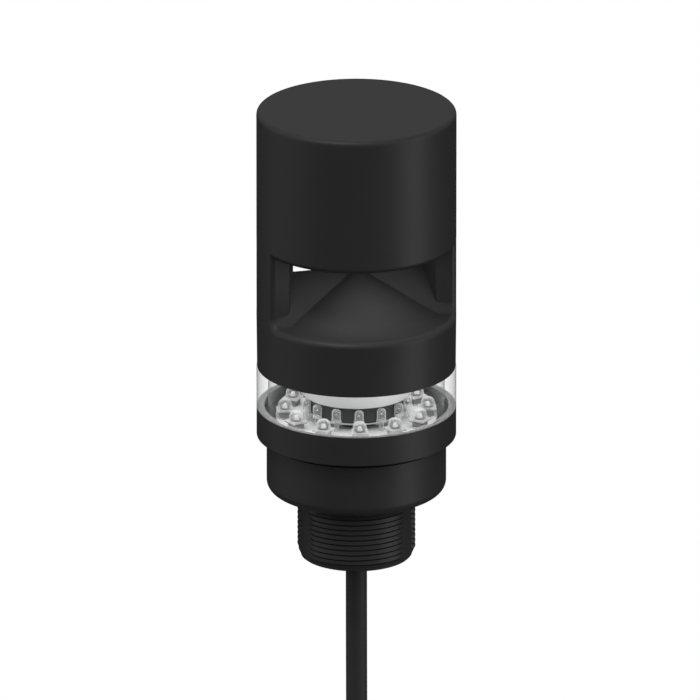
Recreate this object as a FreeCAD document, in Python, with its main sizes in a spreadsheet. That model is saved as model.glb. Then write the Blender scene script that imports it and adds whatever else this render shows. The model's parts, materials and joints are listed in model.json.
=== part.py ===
"""Stack light with one clear light segment and an omnidirectional sounder, on a threaded boss.

Millimetres, +Z up. The origin is on the axis, at the shoulder that seats on the mounting panel:
the threaded boss and the cable hang below it. The sound windows face -Y and +Y.
"""
import FreeCAD, Part
import math
import os
import re

import Sketcher

FreeCAD.newDocument("StackLight")
doc = FreeCAD.ActiveDocument

# Driving dimensions, each written once
SIZES = {
    # outside of the column
    "body_diameter": 50.0,
    "skirt_step": 0.125,
    "skirt_height": 13.0,
    "base_diameter": 45.0,
    "base_height": 14.5,
    "base_edge_round": 2.6,
    "collar_height": 7.6,
    "lens_height": 10.7,
    "sill_height": 14.1,
    "window_height": 18.3,
    "sounder_housing_height": 35.0,
    "cap_height": 1.8,
    "cap_edge_round": 1.2,
    # threaded boss and its bore
    "boss_diameter": 29.6,
    "boss_length": 17.4,
    "boss_chamfer": 1.0,
    "boss_bore": 20.0,
    "boss_throat": 12.0,
    "base_floor": 3.0,
    # inside of the base and the collar
    "base_wall": 2.5,
    "board_ledge": 1.5,
    "screw_boss_diameter": 5.4,
    "ledge_height": 6.4,
    "spigot_height": 1.2,
    "spigot_wall": 1.2,
    "seal_thickness": 0.6,
    "collar_floor": 1.5,
    "collar_bore": 17.2,
    "fit_clearance": 0.1,
    # clear lens
    "lens_wall": 2.9,
    "lens_spigot": 2.0,
    "lens_spigot_wall": 1.4,
    # light engine
    "led_board_margin": 1.9,
    "led_board_bore": 16.8,
    "board_thickness": 1.6,
    "led_inset": 2.3,
    "led_count": 12,
    "led_phase": 2.7,
    "led_base_width": 4.2,
    "led_base_height": 0.9,
    "led_lamp_diameter": 3.2,
    "led_lamp_height": 2.0,
    "led_lamp_edge": 0.4,
    "guide_spacing": 4.9,
    "guide_count": 14,
    "guide_phase": 3.0,
    "guide_stem_diameter": 1.3,
    "guide_stem_height": 2.4,
    "guide_diameter": 2.3,
    "guide_height": 3.45,
    "guide_nose": 0.8,
    "core_tube_diameter": 13.0,
    "core_bore": 9.0,
    "core_drum_step": 0.4,
    "core_drum_height": 3.9,
    "core_ring_margin": 0.8,
    "core_ring_height": 0.5,
    "core_lift": 1.9,
    "reflector_margin": 0.6,
    "reflector_flange": 1.6,
    "harness_diameter": 5.0,
    # moulded head
    "head_wall": 2.6,
    "head_turn": 15.0,
    "port_margin": 12.0,
    "post_depth": 8.4,
    "post_nose_width": 1.86,
    "post_root_depth": 6.0,
    "post_root_width": 11.82,
    "post_flare": 0.2,
    "cone_height": 11.8,
    "cone_margin": 4.3,
    "cone_tip": 1.2,
    "cone_wall": 3.1,
    "crest_width": 1.2,
    "crest_slope": 59.3,
    "crest_setback": 1.0,
    "window_floor_round": 2.4,
    "window_edge_round": 1.5,
    "post_corner_round": 0.5,
    "lead_diameter": 1.8,
    "lead_inset": 1.2,
    "lead_channel_overrun": 3.9,
    # sounder
    "gasket_height": 1.0,
    "frame_margin": 2.6,
    "frame_rim": 1.6,
    "frame_flange": 3.0,
    "frame_height": 11.0,
    "diaphragm_rim": 1.1,
    "magnet_diameter": 22.0,
    "magnet_height": 8.0,
    "diaphragm_thickness": 0.6,
    "diaphragm_rise": 4.0,
    "coil_diameter": 9.0,
    "magnet_gap": 0.4,
    "magnet_gap_depth": 4.0,
    "coil_overlap": 3.0,
    "sounder_board_margin": 0.5,
    # base electronics
    "capacitor_diameter": 6.3,
    "capacitor_height": 5.6,
    "capacitor_offset": 11.5,
    "terminal_length": 12.0,
    "terminal_width": 6.0,
    "terminal_height": 5.0,
    "terminal_offset": 8.0,
    "screw_inset": 2.7,
    "screw_count": 3,
    "screw_diameter": 2.0,
    "screw_length": 4.2,
    "screw_head_diameter": 4.2,
    "screw_head_height": 1.6,
    "screw_hole_diameter": 2.1,
    "screw_hole_depth": 3.0,
    "board_hole_diameter": 2.8,
    # cable
    "cable_diameter": 5.35,
    "grommet_drop": 5.0,
    "grommet_flange": 2.0,
    "grommet_flange_height": 1.2,
    "cable_waver": 0.15,
    "cable_first_run": 35.0,
    "cable_second_run": 36.0,
    "run_share": 0.45,
    "coil_mean_radius": 32.0,
    "turn_spacing": 5.7,
    "coil_entry_angle": 40.0,
    "coil_entry_stub": 20.4,
    "coil_tail": 45.0,
    "bundle_corner": 1.1,
    "tie_width": 3.6,
    "tie_thickness": 1.3,
    "tie_clearance": 0.15,
    "wire_diameter": 1.1,
    "wire_length": 28.0,
    "wire_circle": 2.6,
    "wire_count": 4,
}

sheet = doc.addObject("Spreadsheet::Sheet", "Sizes")
for row, (alias, value) in enumerate(SIZES.items(), start=1):
    sheet.set(f"A{row}", alias)
    sheet.set(f"B{row}", str(value))
    sheet.setAlias(f"B{row}", alias)
doc.recompute()

pieces = []

# Tolerances for finding edges by their place
EXACT = 1e-4
NEAR = 0.01
SHORT_EDGE = 0.5
EDGE_REACH = 1.0


def keep(piece):
    """Count a document object among the pieces that are written out."""
    pieces.append(piece)
    return piece


WORD = re.compile(r"\b[a-z][a-z_]*[a-z]\b")


def bound(formula):
    """The formula with every size name pointing at its cell in the sheet."""
    return WORD.sub(lambda m: f"Sizes.{m.group(0)}" if m.group(0) in SIZES else m.group(0), formula)


def value(formula):
    """The number that a formula gives now."""
    return float(sheet.evalExpression(bound(formula)))


# Levels up the column
COLLAR_TOP = "(base_height + collar_height)"
LENS_TOP = f"({COLLAR_TOP} + lens_height)"
WINDOW_FLOOR = f"({LENS_TOP} + sill_height)"
WINDOW_TOP = f"({WINDOW_FLOOR} + window_height)"
HEAD_TOP = f"({WINDOW_TOP} + sounder_housing_height)"
CAP_SEAT = f"({HEAD_TOP} - cap_height)"
DRIVER_TOP = "(ledge_height + board_thickness)"
COLLAR_FLOOR = "(base_height + spigot_height + seal_thickness)"
LED_BOARD_SEAT = f"({COLLAR_FLOOR} + collar_floor)"
LED_BOARD_TOP = f"({LED_BOARD_SEAT} + board_thickness)"
CORE_RING_BOTTOM = f"({LED_BOARD_TOP} + core_lift)"
CORE_RING_TOP = f"({CORE_RING_BOTTOM} + core_ring_height)"
DRUM_TOP = f"({CORE_RING_TOP} + core_drum_height)"
LINK_BOARD_SEAT = f"({LENS_TOP} + reflector_flange)"
LINK_BOARD_TOP = f"({LINK_BOARD_SEAT} + board_thickness)"
CHAMBER_FLOOR = f"({WINDOW_TOP} + head_wall)"
FRAME_SEAT = f"({CHAMBER_FLOOR} + gasket_height)"
MAGNET_SEAT = f"({FRAME_SEAT} + frame_height)"
SOUNDER_BOARD_SEAT = f"({MAGNET_SEAT} + magnet_height)"

# Radii
BODY = "(body_diameter / 2)"
BASE = "(base_diameter / 2)"
BASE_CAVITY = f"({BASE} - base_wall)"
SPIGOT = f"({BASE_CAVITY} + spigot_wall)"
LENS_RECESS = f"({COLLAR_TOP} - lens_spigot - seal_thickness)"
HEAD_RECESS = f"({LENS_TOP} + lens_spigot + seal_thickness)"
LENS_BORE = f"({BODY} - lens_wall)"
LENS_SPIGOT = f"({LENS_BORE} + lens_spigot_wall)"
CHAMBER = f"({BODY} - head_wall)"
SKIRT = f"({BODY} - skirt_step)"
LED_BOARD = f"({LENS_BORE} - led_board_margin)"
LED_RING = f"({LED_BOARD} - led_inset)"
GUIDE_RING = f"({LED_RING} - guide_spacing)"
CORE_RING = f"({GUIDE_RING} - core_ring_margin)"
CORE_DRUM = f"({CORE_RING} - core_drum_step)"
REFLECTOR = f"({GUIDE_RING} + reflector_margin)"
SOUND_PORT = f"({BODY} - port_margin)"
POST_NOSE = f"({BODY} - post_depth)"
POST_ROOT = f"({BODY} - post_root_depth)"
CONE = f"({BODY} - cone_margin)"
LEAD_RING = f"({LENS_BORE} - lead_inset)"
FRAME = f"({CHAMBER} - frame_margin)"
SOUNDER_BOARD = f"({CHAMBER} - sounder_board_margin)"
SCREW_RING = f"({BASE_CAVITY} - screw_inset)"


def plane(body, role):
    """One of a body's own origin planes."""
    for feature in body.Origin.OriginFeatures:
        if feature.Role == role:
            return feature
    raise ValueError(role)


def new_sketch(body, name, role, height=None):
    """An empty sketch on one of the body's planes, raised by a formula where one is given."""
    sketch = body.newObject("Sketcher::SketchObject", name)
    sketch.AttachmentSupport = (plane(body, role), [""])
    sketch.MapMode = "FlatFace"
    if height is not None:
        sketch.setExpression("AttachmentOffset.Base.z", bound(height))
    return sketch


def draw_outline(sketch, points):
    """A closed outline of straight edges whose corners are bound to formulas, as (across, up)."""
    corners = [FreeCAD.Vector(value(x), value(y), 0) for x, y in points]
    for start, end in zip(corners, corners[1:] + corners[:1]):
        sketch.addGeometry(Part.LineSegment(start, end), False)
    for index in range(len(points)):
        following = (index + 1) % len(points)
        sketch.addConstraint(Sketcher.Constraint("Coincident", index, 2, following, 1))
    for index, (across, up) in enumerate(points):
        if across == "0":
            sketch.addConstraint(Sketcher.Constraint("PointOnObject", index, 1, -2))
        else:
            number = sketch.addConstraint(
                Sketcher.Constraint("DistanceX", -1, 1, index, 1, corners[index].x))
            sketch.setExpression(f"Constraints[{number}]", bound(across))
        number = sketch.addConstraint(
            Sketcher.Constraint("DistanceY", -1, 1, index, 1, corners[index].y))
        sketch.setExpression(f"Constraints[{number}]", bound(up))
    return sketch


def new_body(label):
    """A body whose label names the piece."""
    body = doc.addObject("PartDesign::Body", label)
    body.Label = label
    return body


def turned(label, points, kept=True):
    """A body turned about the Z axis from an outline of (radius, height) formulas."""
    body = new_body(label)
    sketch = draw_outline(new_sketch(body, f"{label}_profile", "XZ_Plane"), points)
    feature = body.newObject("PartDesign::Revolution", f"{label}_turned")
    feature.Profile = sketch
    feature.ReferenceAxis = (sketch, ["V_Axis"])
    feature.Angle = 360.0
    doc.recompute()
    return keep(body) if kept else body


def ring_edges(shape, radius, height):
    """Names of the full circles of one radius at one height."""
    names = []
    for number, edge in enumerate(shape.Edges, start=1):
        curve = edge.Curve
        if isinstance(curve, Part.Circle) and abs(curve.Radius - radius) < EXACT:
            off_axis = math.hypot(curve.Center.x, curve.Center.y)
            if abs(curve.Center.z - height) < EXACT and off_axis < EXACT:
                names.append(f"Edge{number}")
    return names


def round_ring(body, radius, height, size):
    """A fillet on the circle of a radius and height, all given as formulas."""
    base = body.Tip
    fillet = body.newObject("PartDesign::Fillet", f"{body.Name}_round")
    fillet.Base = (base, ring_edges(base.Shape, value(radius), value(height)))
    fillet.setExpression("Radius", bound(size))
    doc.recompute()
    return body


def circles_sketch(body, name, height, spots, diameter):
    """Circles of one diameter at several spots of a level."""
    sketch = new_sketch(body, f"{body.Name}_{name}_plan", "XY_Plane", height)
    for index, (across, up) in enumerate(spots):
        centre = FreeCAD.Vector(value(across), value(up), 0)
        sketch.addGeometry(Part.Circle(centre, FreeCAD.Vector(0, 0, 1), value(diameter) / 2), False)
        number = sketch.addConstraint(Sketcher.Constraint("Diameter", index, value(diameter)))
        sketch.setExpression(f"Constraints[{number}]", bound(diameter))
        for kind, formula, place in (("DistanceX", across, centre.x), ("DistanceY", up, centre.y)):
            number = sketch.addConstraint(Sketcher.Constraint(kind, -1, 1, index, 3, place))
            sketch.setExpression(f"Constraints[{number}]", bound(formula))
    return sketch


def raised(body, name, height, spots, diameter, length):
    """Round bosses that rise from one level of a body."""
    pad = body.newObject("PartDesign::Pad", f"{body.Name}_{name}")
    pad.Profile = circles_sketch(body, name, height, spots, diameter)
    pad.setExpression("Length", bound(length))
    doc.recompute()
    return body


def drilled(body, name, height, spots, diameter, depth):
    """Round holes sunk down into a body from one level."""
    before = body.Shape.Volume
    pocket = body.newObject("PartDesign::Pocket", f"{body.Name}_{name}")
    pocket.Profile = circles_sketch(body, name, height, spots, diameter)
    pocket.setExpression("Length", bound(depth))
    doc.recompute()
    if body.Shape.Volume > before - EXACT:
        raise RuntimeError(f"{name} cut nothing from {body.Label}")
    return body


def circle_spots(radius, count, phase="0"):
    """Plan formulas of points evenly spaced on a circle, counted from the front (-Y) towards +X."""
    spots = []
    for index in range(int(SIZES[count])):
        angle = f"({phase} + {index} * 360 / {count}) * 1deg"
        spots.append((f"({radius} * sin({angle}))", f"(-{radius} * cos({angle}))"))
    return spots


def primitive(kind, name, sizes, place):
    """A Part primitive with sizes and position bound to formulas."""
    solid = doc.addObject(f"Part::{kind}", name)
    for field, formula in sizes.items():
        solid.setExpression(field, bound(formula))
    for axis, formula in zip("xyz", place):
        solid.setExpression(f"Placement.Base.{axis}", bound(formula))
    return solid


def joined(label, solids, kept=True):
    """One solid fused from several, named as a piece."""
    fusion = doc.addObject("Part::MultiFuse", label)
    fusion.Shapes = solids
    fusion.Label = label
    return keep(fusion) if kept else fusion


def grouped(label, solids):
    """Several like solids as one piece."""
    group = doc.addObject("Part::Compound", label)
    group.Links = solids
    group.Label = label
    return keep(group)


# Base: round housing and threaded boss in one moulding
base_housing = turned("base_housing", [
    ("boss_bore / 2", "-boss_length"),
    ("boss_diameter / 2 - boss_chamfer", "-boss_length"),
    ("boss_diameter / 2", "-boss_length + boss_chamfer"),
    ("boss_diameter / 2", "0"),
    (BASE, "0"),
    (BASE, "base_height"),
    (SPIGOT, "base_height"),
    (SPIGOT, "base_height + spigot_height"),
    (BASE_CAVITY, "base_height + spigot_height"),
    (BASE_CAVITY, "ledge_height"),
    (f"{BASE_CAVITY} - board_ledge", "ledge_height"),
    (f"{BASE_CAVITY} - board_ledge", "base_floor"),
    ("boss_throat / 2", "base_floor"),
    ("boss_throat / 2", "0"),
    ("boss_bore / 2", "0"),
])
round_ring(base_housing, BASE, "0", "base_edge_round")
SCREW_SPOTS = circle_spots(SCREW_RING, "screw_count", "60")
raised(base_housing, "screw_bosses", "base_floor", SCREW_SPOTS, "screw_boss_diameter",
       "ledge_height - base_floor")
drilled(base_housing, "screw_holes", "ledge_height", SCREW_SPOTS, "screw_hole_diameter",
        "screw_hole_depth")

# Collar: black ring that carries the light engine and the lens
turned("collar", [
    (f"{SPIGOT} + fit_clearance", "base_height"),
    (BODY, "base_height"),
    (BODY, COLLAR_TOP),
    (f"{LENS_SPIGOT} + fit_clearance", COLLAR_TOP),
    (f"{LENS_SPIGOT} + fit_clearance", LENS_RECESS),
    (f"{LED_BOARD} + fit_clearance", LENS_RECESS),
    (f"{LED_BOARD} + fit_clearance", LED_BOARD_SEAT),
    ("collar_bore / 2", LED_BOARD_SEAT),
    ("collar_bore / 2", COLLAR_FLOOR),
    (f"{SPIGOT} + fit_clearance", COLLAR_FLOOR),
])


def seal_ring(label, inner, outer, bottom):
    """Flat rubber ring under a spigot."""
    top = f"({bottom} + seal_thickness)"
    turned(label, [(inner, bottom), (outer, bottom), (outer, top), (inner, top)])


seal_ring("base_seal", BASE_CAVITY, SPIGOT, "(base_height + spigot_height)")
seal_ring("lens_seal_lower", LENS_BORE, LENS_SPIGOT, LENS_RECESS)
seal_ring("lens_seal_upper", LENS_BORE, LENS_SPIGOT, f"({LENS_TOP} + lens_spigot)")

# Lens: clear tube with a spigot at each end
turned("lens", [
    (LENS_BORE, f"{COLLAR_TOP} - lens_spigot"),
    (LENS_SPIGOT, f"{COLLAR_TOP} - lens_spigot"),
    (LENS_SPIGOT, COLLAR_TOP),
    (BODY, COLLAR_TOP),
    (BODY, LENS_TOP),
    (LENS_SPIGOT, LENS_TOP),
    (LENS_SPIGOT, f"{LENS_TOP} + lens_spigot"),
    (LENS_BORE, f"{LENS_TOP} + lens_spigot"),
])

# Light engine: ring board, lamps round its edge and light guides round the core
turned("led_board", [
    ("led_board_bore / 2", LED_BOARD_SEAT),
    (LED_BOARD, LED_BOARD_SEAT),
    (LED_BOARD, LED_BOARD_TOP),
    ("led_board_bore / 2", LED_BOARD_TOP),
])


def turn_round_axis(piece, angle):
    """Turn a piece about the Z axis, counted from the front (-Y) towards +X."""
    piece.Placement = FreeCAD.Placement(
        FreeCAD.Vector(0, 0, 0), FreeCAD.Rotation(FreeCAD.Vector(0, 0, 1), angle))


def make_led(number):
    """Clear square package with a short round lamp on it."""
    label = f"led_{number:02d}"
    centre = f"-{LED_RING}"
    package = primitive(
        "Box", f"{label}_package",
        {"Length": "led_base_width", "Width": "led_base_width", "Height": "led_base_height"},
        ("-led_base_width / 2", f"{centre} - led_base_width / 2", LED_BOARD_TOP))
    lamp_foot = f"{LED_BOARD_TOP} + led_base_height"
    lamp = primitive(
        "Cylinder", f"{label}_lamp",
        {"Radius": "led_lamp_diameter / 2", "Height": "led_lamp_height - led_lamp_edge"},
        ("0", centre, lamp_foot))
    crown = primitive(
        "Cone", f"{label}_crown",
        {"Radius1": "led_lamp_diameter / 2", "Radius2": "led_lamp_diameter / 2 - led_lamp_edge",
         "Height": "led_lamp_edge"},
        ("0", centre, f"{lamp_foot} + led_lamp_height - led_lamp_edge"))
    led = joined(label, [package, lamp, crown])
    turn_round_axis(led, SIZES["led_phase"] + (number - 1) * 360 / SIZES["led_count"])


def make_guide(number):
    """Slim clear light guide: thin stem, bullet body and tapered nose."""
    label = f"light_guide_{number:02d}"
    centre = f"-{GUIDE_RING}"
    bullet_foot = f"{LED_BOARD_TOP} + guide_stem_height"
    stem = primitive(
        "Cylinder", f"{label}_stem",
        {"Radius": "guide_stem_diameter / 2", "Height": "guide_stem_height"},
        ("0", centre, LED_BOARD_TOP))
    bullet = primitive(
        "Cylinder", f"{label}_bullet",
        {"Radius": "guide_diameter / 2", "Height": "guide_height - guide_nose"},
        ("0", centre, bullet_foot))
    nose = primitive(
        "Cone", f"{label}_nose",
        {"Radius1": "guide_diameter / 2", "Radius2": "guide_diameter / 4", "Height": "guide_nose"},
        ("0", centre, f"{bullet_foot} + guide_height - guide_nose"))
    guide = joined(label, [stem, bullet, nose])
    turn_round_axis(guide, SIZES["guide_phase"] + (number - 1) * 360 / SIZES["guide_count"])


for count in range(1, int(SIZES["led_count"]) + 1):
    make_led(count)
for count in range(1, int(SIZES["guide_count"]) + 1):
    make_guide(count)

# Core: stem from the base to the head, with a bright ring under its drum
turned("core_tube", [
    ("core_bore / 2", DRIVER_TOP),
    ("core_tube_diameter / 2", DRIVER_TOP),
    ("core_tube_diameter / 2", CORE_RING_TOP),
    (CORE_DRUM, CORE_RING_TOP),
    (CORE_DRUM, DRUM_TOP),
    ("core_bore / 2", DRUM_TOP),
])
turned("core_ring", [
    ("core_tube_diameter / 2", CORE_RING_BOTTOM),
    (CORE_RING, CORE_RING_BOTTOM),
    (CORE_RING, CORE_RING_TOP),
    ("core_tube_diameter / 2", CORE_RING_TOP),
])
turned("reflector", [
    ("core_bore / 2", DRUM_TOP),
    (REFLECTOR, DRUM_TOP),
    (REFLECTOR, LENS_TOP),
    (f"{LENS_BORE} - fit_clearance", LENS_TOP),
    (f"{LENS_BORE} - fit_clearance", LINK_BOARD_SEAT),
    ("core_bore / 2", LINK_BOARD_SEAT),
])
turned("link_board", [
    ("0", LINK_BOARD_SEAT),
    (f"{LENS_BORE} - fit_clearance", LINK_BOARD_SEAT),
    (f"{LENS_BORE} - fit_clearance", LINK_BOARD_TOP),
    ("0", LINK_BOARD_TOP),
])
turned("link_harness", [
    ("0", DRIVER_TOP),
    ("harness_diameter / 2", DRIVER_TOP),
    ("harness_diameter / 2", LINK_BOARD_SEAT),
    ("0", LINK_BOARD_SEAT),
])

# Head: one moulding with the sounder chamber, two posts, the sound windows and the deflector cone
head_shell = turned("head_shell", [
    ("0", f"{WINDOW_FLOOR} + cone_height - cone_wall"),
    (f"{CONE} - cone_wall", f"{WINDOW_FLOOR} - head_wall"),
    (LENS_BORE, f"{WINDOW_FLOOR} - head_wall"),
    (LENS_BORE, HEAD_RECESS),
    (f"{LENS_SPIGOT} + fit_clearance", HEAD_RECESS),
    (f"{LENS_SPIGOT} + fit_clearance", LENS_TOP),
    (SKIRT, LENS_TOP),
    (BODY, f"{LENS_TOP} + skirt_height"),
    (BODY, CAP_SEAT),
    (CHAMBER, CAP_SEAT),
    (CHAMBER, CHAMBER_FLOOR),
    (SOUND_PORT, CHAMBER_FLOOR),
    (SOUND_PORT, WINDOW_TOP),
    ("0", WINDOW_TOP),
], kept=False)
# The shell's seam turns with the windows, so it lies in the middle of a post
HEAD_PLACE = FreeCAD.Placement(
    FreeCAD.Vector(0, 0, 0), FreeCAD.Rotation(FreeCAD.Vector(0, 0, 1), value("head_turn")))
head_shell.Placement = HEAD_PLACE


def window_outline():
    """Plan of the sound windows: open front and back, narrowing between the posts' noses."""
    outside = "body_diameter"
    half_root = "post_root_width / 2"
    right = [
        (POST_NOSE, "-post_nose_width / 2"),
        (POST_ROOT, f"-{half_root}"),
        (outside, f"-({half_root} + post_flare * ({outside} - {POST_ROOT}))"),
        (outside, f"-{outside}"),
    ]
    front_left = [(f"-({x})", y) for x, y in reversed(right)]
    back = [(f"-({x})", f"-({y})") for x, y in right] + [(x, f"-({y})") for x, y in reversed(right)]
    return right + front_left + back


def extruded(name, sketch, forward, backward="0"):
    """A straight extrusion of a sketch along its normal."""
    solid = doc.addObject("Part::Extrusion", name)
    solid.Base = sketch
    solid.DirMode = "Normal"
    solid.Solid = True
    solid.setExpression("LengthFwd", bound(forward))
    solid.setExpression("LengthRev", bound(backward))
    return solid


def free_sketch(name, points, placement, height="0"):
    """A sketch that stands by itself, for an extrusion."""
    sketch = doc.addObject("Sketcher::SketchObject", name)
    sketch.Placement = placement
    draw_outline(sketch, points)
    sketch.setExpression("Placement.Base.z", bound(height))
    return sketch


def rounded(name, base, choose):
    """Fillets on the edges that a chooser gives a radius."""
    doc.recompute()
    fillet = doc.addObject("Part::Fillet", name)
    fillet.Base = base
    picked = []
    for number, edge in enumerate(base.Shape.Edges, start=1):
        radius = choose(edge)
        if radius:
            picked.append((number, radius, radius))
    fillet.Edges = picked
    doc.recompute()
    return fillet


UPRIGHT = FreeCAD.Placement()
ACROSS = FreeCAD.Placement(FreeCAD.Vector(0, 0, 0), FreeCAD.Rotation(FreeCAD.Vector(1, 1, 1), 120))

window_prism = extruded(
    "window_prism", free_sketch("window_plan", window_outline(), UPRIGHT, WINDOW_FLOOR), "window_height")


def post_edge(edge):
    """Round the posts' corners, then everything that meets the window floor."""
    middle = edge.CenterOfMass
    inside = math.hypot(middle.x, middle.y) < value(BODY) + EDGE_REACH
    tall = abs(edge.BoundBox.ZLength - value("window_height")) < NEAR
    return value("post_corner_round") if inside and tall else 0


def floor_edge(edge):
    """Edges of the window prism on the floor, along the posts."""
    middle = edge.CenterOfMass
    on_floor = abs(middle.z - value(WINDOW_FLOOR)) < NEAR and edge.BoundBox.ZLength < NEAR
    past_nose = abs(middle.x) > value(POST_NOSE) - EDGE_REACH
    beside_post = past_nose and abs(middle.y) < value(BODY) / 2
    return value("window_floor_round") if on_floor and beside_post else 0


window_posts = rounded("window_posts", window_prism, post_edge)
window_tool = rounded("window_tool", window_posts, floor_edge)

cone = primitive(
    "Cone", "deflector_cone",
    {"Radius1": CONE, "Radius2": "cone_tip / 2", "Height": "cone_height"},
    ("0", "0", WINDOW_FLOOR))
CREST_FOOT = "(crest_width / 2 + cone_height / tan(crest_slope * 1deg))"
crest = extruded(
    "deflector_crest",
    free_sketch("crest_section", [
        (f"-({CREST_FOOT})", "0"),
        (CREST_FOOT, "0"),
        ("crest_width / 2", "cone_height"),
        ("-crest_width / 2", "cone_height"),
    ], ACROSS, WINDOW_FLOOR),
    f"{BODY} - crest_setback", f"{BODY} - crest_setback")
deflector = joined("deflector_solid", [cone, crest], kept=False)
window_void = doc.addObject("Part::Cut", "window_void")
window_void.Base = window_tool
window_void.Tool = deflector
LEAD_ACROSS = f"(-{LEAD_RING} * cos(head_turn * 1deg))"
LEAD_ALONG = f"(-{LEAD_RING} * sin(head_turn * 1deg))"
channel = primitive(
    "Cylinder", "lead_channel",
    {"Radius": "lead_diameter / 2 + fit_clearance * 2", "Height": "window_height + lead_channel_overrun * 2"},
    (LEAD_ACROSS, LEAD_ALONG, f"{WINDOW_FLOOR} - lead_channel_overrun"))
window_void.Placement = HEAD_PLACE
head_tool = joined("head_tool", [window_void, channel], kept=False)
head_cut = doc.addObject("Part::Cut", "head_cut")
head_cut.Base = head_shell
head_cut.Tool = head_tool
doc.recompute()


def outer_edge(edge):
    """The windows' outer edges, on the face of the body."""
    if edge.Degenerated or edge.Length < SHORT_EDGE:
        return 0
    reach = [math.hypot(p.x, p.y) for p in edge.discretize(5)]
    low = value(WINDOW_FLOOR) - NEAR
    high = value(WINDOW_TOP) + NEAR
    levels = [v.Point.z for v in edge.Vertexes]
    on_face = all(abs(r - value(BODY)) < NEAR for r in reach)
    whole_ring = isinstance(edge.Curve, Part.Circle) and edge.isClosed()
    in_window = all(low <= z <= high for z in levels)
    return value("window_edge_round") if on_face and in_window and not whole_ring else 0


head = rounded("head_housing", head_cut, outer_edge)
head.Label = "head_housing"
keep(head)
turned("head_cap", [
    ("0", f"{CAP_SEAT} - spigot_height"),
    (f"{CHAMBER} - fit_clearance", f"{CAP_SEAT} - spigot_height"),
    (f"{CHAMBER} - fit_clearance", CAP_SEAT),
    (BODY, CAP_SEAT),
    (BODY, HEAD_TOP),
    ("0", HEAD_TOP),
])
round_ring(doc.getObject("head_cap"), BODY, HEAD_TOP, "cap_edge_round")

# Sounder: driver over the port, its board above it and the lead down the left post
turned("sounder_gasket", [
    (f"{SOUND_PORT} + diaphragm_rim + fit_clearance", CHAMBER_FLOOR),
    (FRAME, CHAMBER_FLOOR),
    (FRAME, FRAME_SEAT),
    (f"{SOUND_PORT} + diaphragm_rim + fit_clearance", FRAME_SEAT),
])
turned("sounder_frame", [
    (SOUND_PORT, FRAME_SEAT),
    (FRAME, FRAME_SEAT),
    (FRAME, f"{FRAME_SEAT} + frame_rim"),
    (f"{FRAME} - frame_flange", f"{FRAME_SEAT} + frame_rim"),
    ("magnet_diameter / 2", MAGNET_SEAT),
    ("coil_diameter / 2 + magnet_gap", MAGNET_SEAT),
    ("coil_diameter / 2 + magnet_gap", f"{MAGNET_SEAT} - frame_rim"),
    ("magnet_diameter / 2 - frame_rim", f"{MAGNET_SEAT} - frame_rim"),
])
turned("sounder_magnet", [
    ("0", MAGNET_SEAT),
    ("coil_diameter / 2 - 2 * magnet_gap", MAGNET_SEAT),
    ("coil_diameter / 2 - 2 * magnet_gap", f"{MAGNET_SEAT} + magnet_gap_depth"),
    ("coil_diameter / 2 + magnet_gap", f"{MAGNET_SEAT} + magnet_gap_depth"),
    ("coil_diameter / 2 + magnet_gap", MAGNET_SEAT),
    ("magnet_diameter / 2", MAGNET_SEAT),
    ("magnet_diameter / 2", SOUNDER_BOARD_SEAT),
    ("0", SOUNDER_BOARD_SEAT),
])
DIAPHRAGM_TOP = f"({FRAME_SEAT} + diaphragm_rise)"
turned("diaphragm", [
    ("0", f"{DIAPHRAGM_TOP} - diaphragm_thickness"),
    ("coil_diameter / 2", f"{DIAPHRAGM_TOP} - diaphragm_thickness"),
    (f"{SOUND_PORT} - diaphragm_thickness", f"{FRAME_SEAT} - diaphragm_thickness"),
    (f"{SOUND_PORT} + diaphragm_rim", f"{FRAME_SEAT} - diaphragm_thickness"),
    (f"{SOUND_PORT} + diaphragm_rim", FRAME_SEAT),
    (f"{SOUND_PORT} - diaphragm_thickness", FRAME_SEAT),
    ("coil_diameter / 2", DIAPHRAGM_TOP),
    ("0", DIAPHRAGM_TOP),
])
turned("voice_coil", [
    ("coil_diameter / 2 - magnet_gap", DIAPHRAGM_TOP),
    ("coil_diameter / 2", DIAPHRAGM_TOP),
    ("coil_diameter / 2", f"{MAGNET_SEAT} + coil_overlap"),
    ("coil_diameter / 2 - magnet_gap", f"{MAGNET_SEAT} + coil_overlap"),
])
turned("sounder_board", [
    ("0", SOUNDER_BOARD_SEAT),
    (SOUNDER_BOARD, SOUNDER_BOARD_SEAT),
    (SOUNDER_BOARD, f"{SOUNDER_BOARD_SEAT} + board_thickness"),
    ("0", f"{SOUNDER_BOARD_SEAT} + board_thickness"),
])
sounder_lead = primitive(
    "Cylinder", "sounder_lead",
    {"Radius": "lead_diameter / 2", "Height": f"{SOUNDER_BOARD_SEAT} - {LINK_BOARD_TOP}"},
    (LEAD_ACROSS, LEAD_ALONG, LINK_BOARD_TOP))
keep(sounder_lead)

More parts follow.
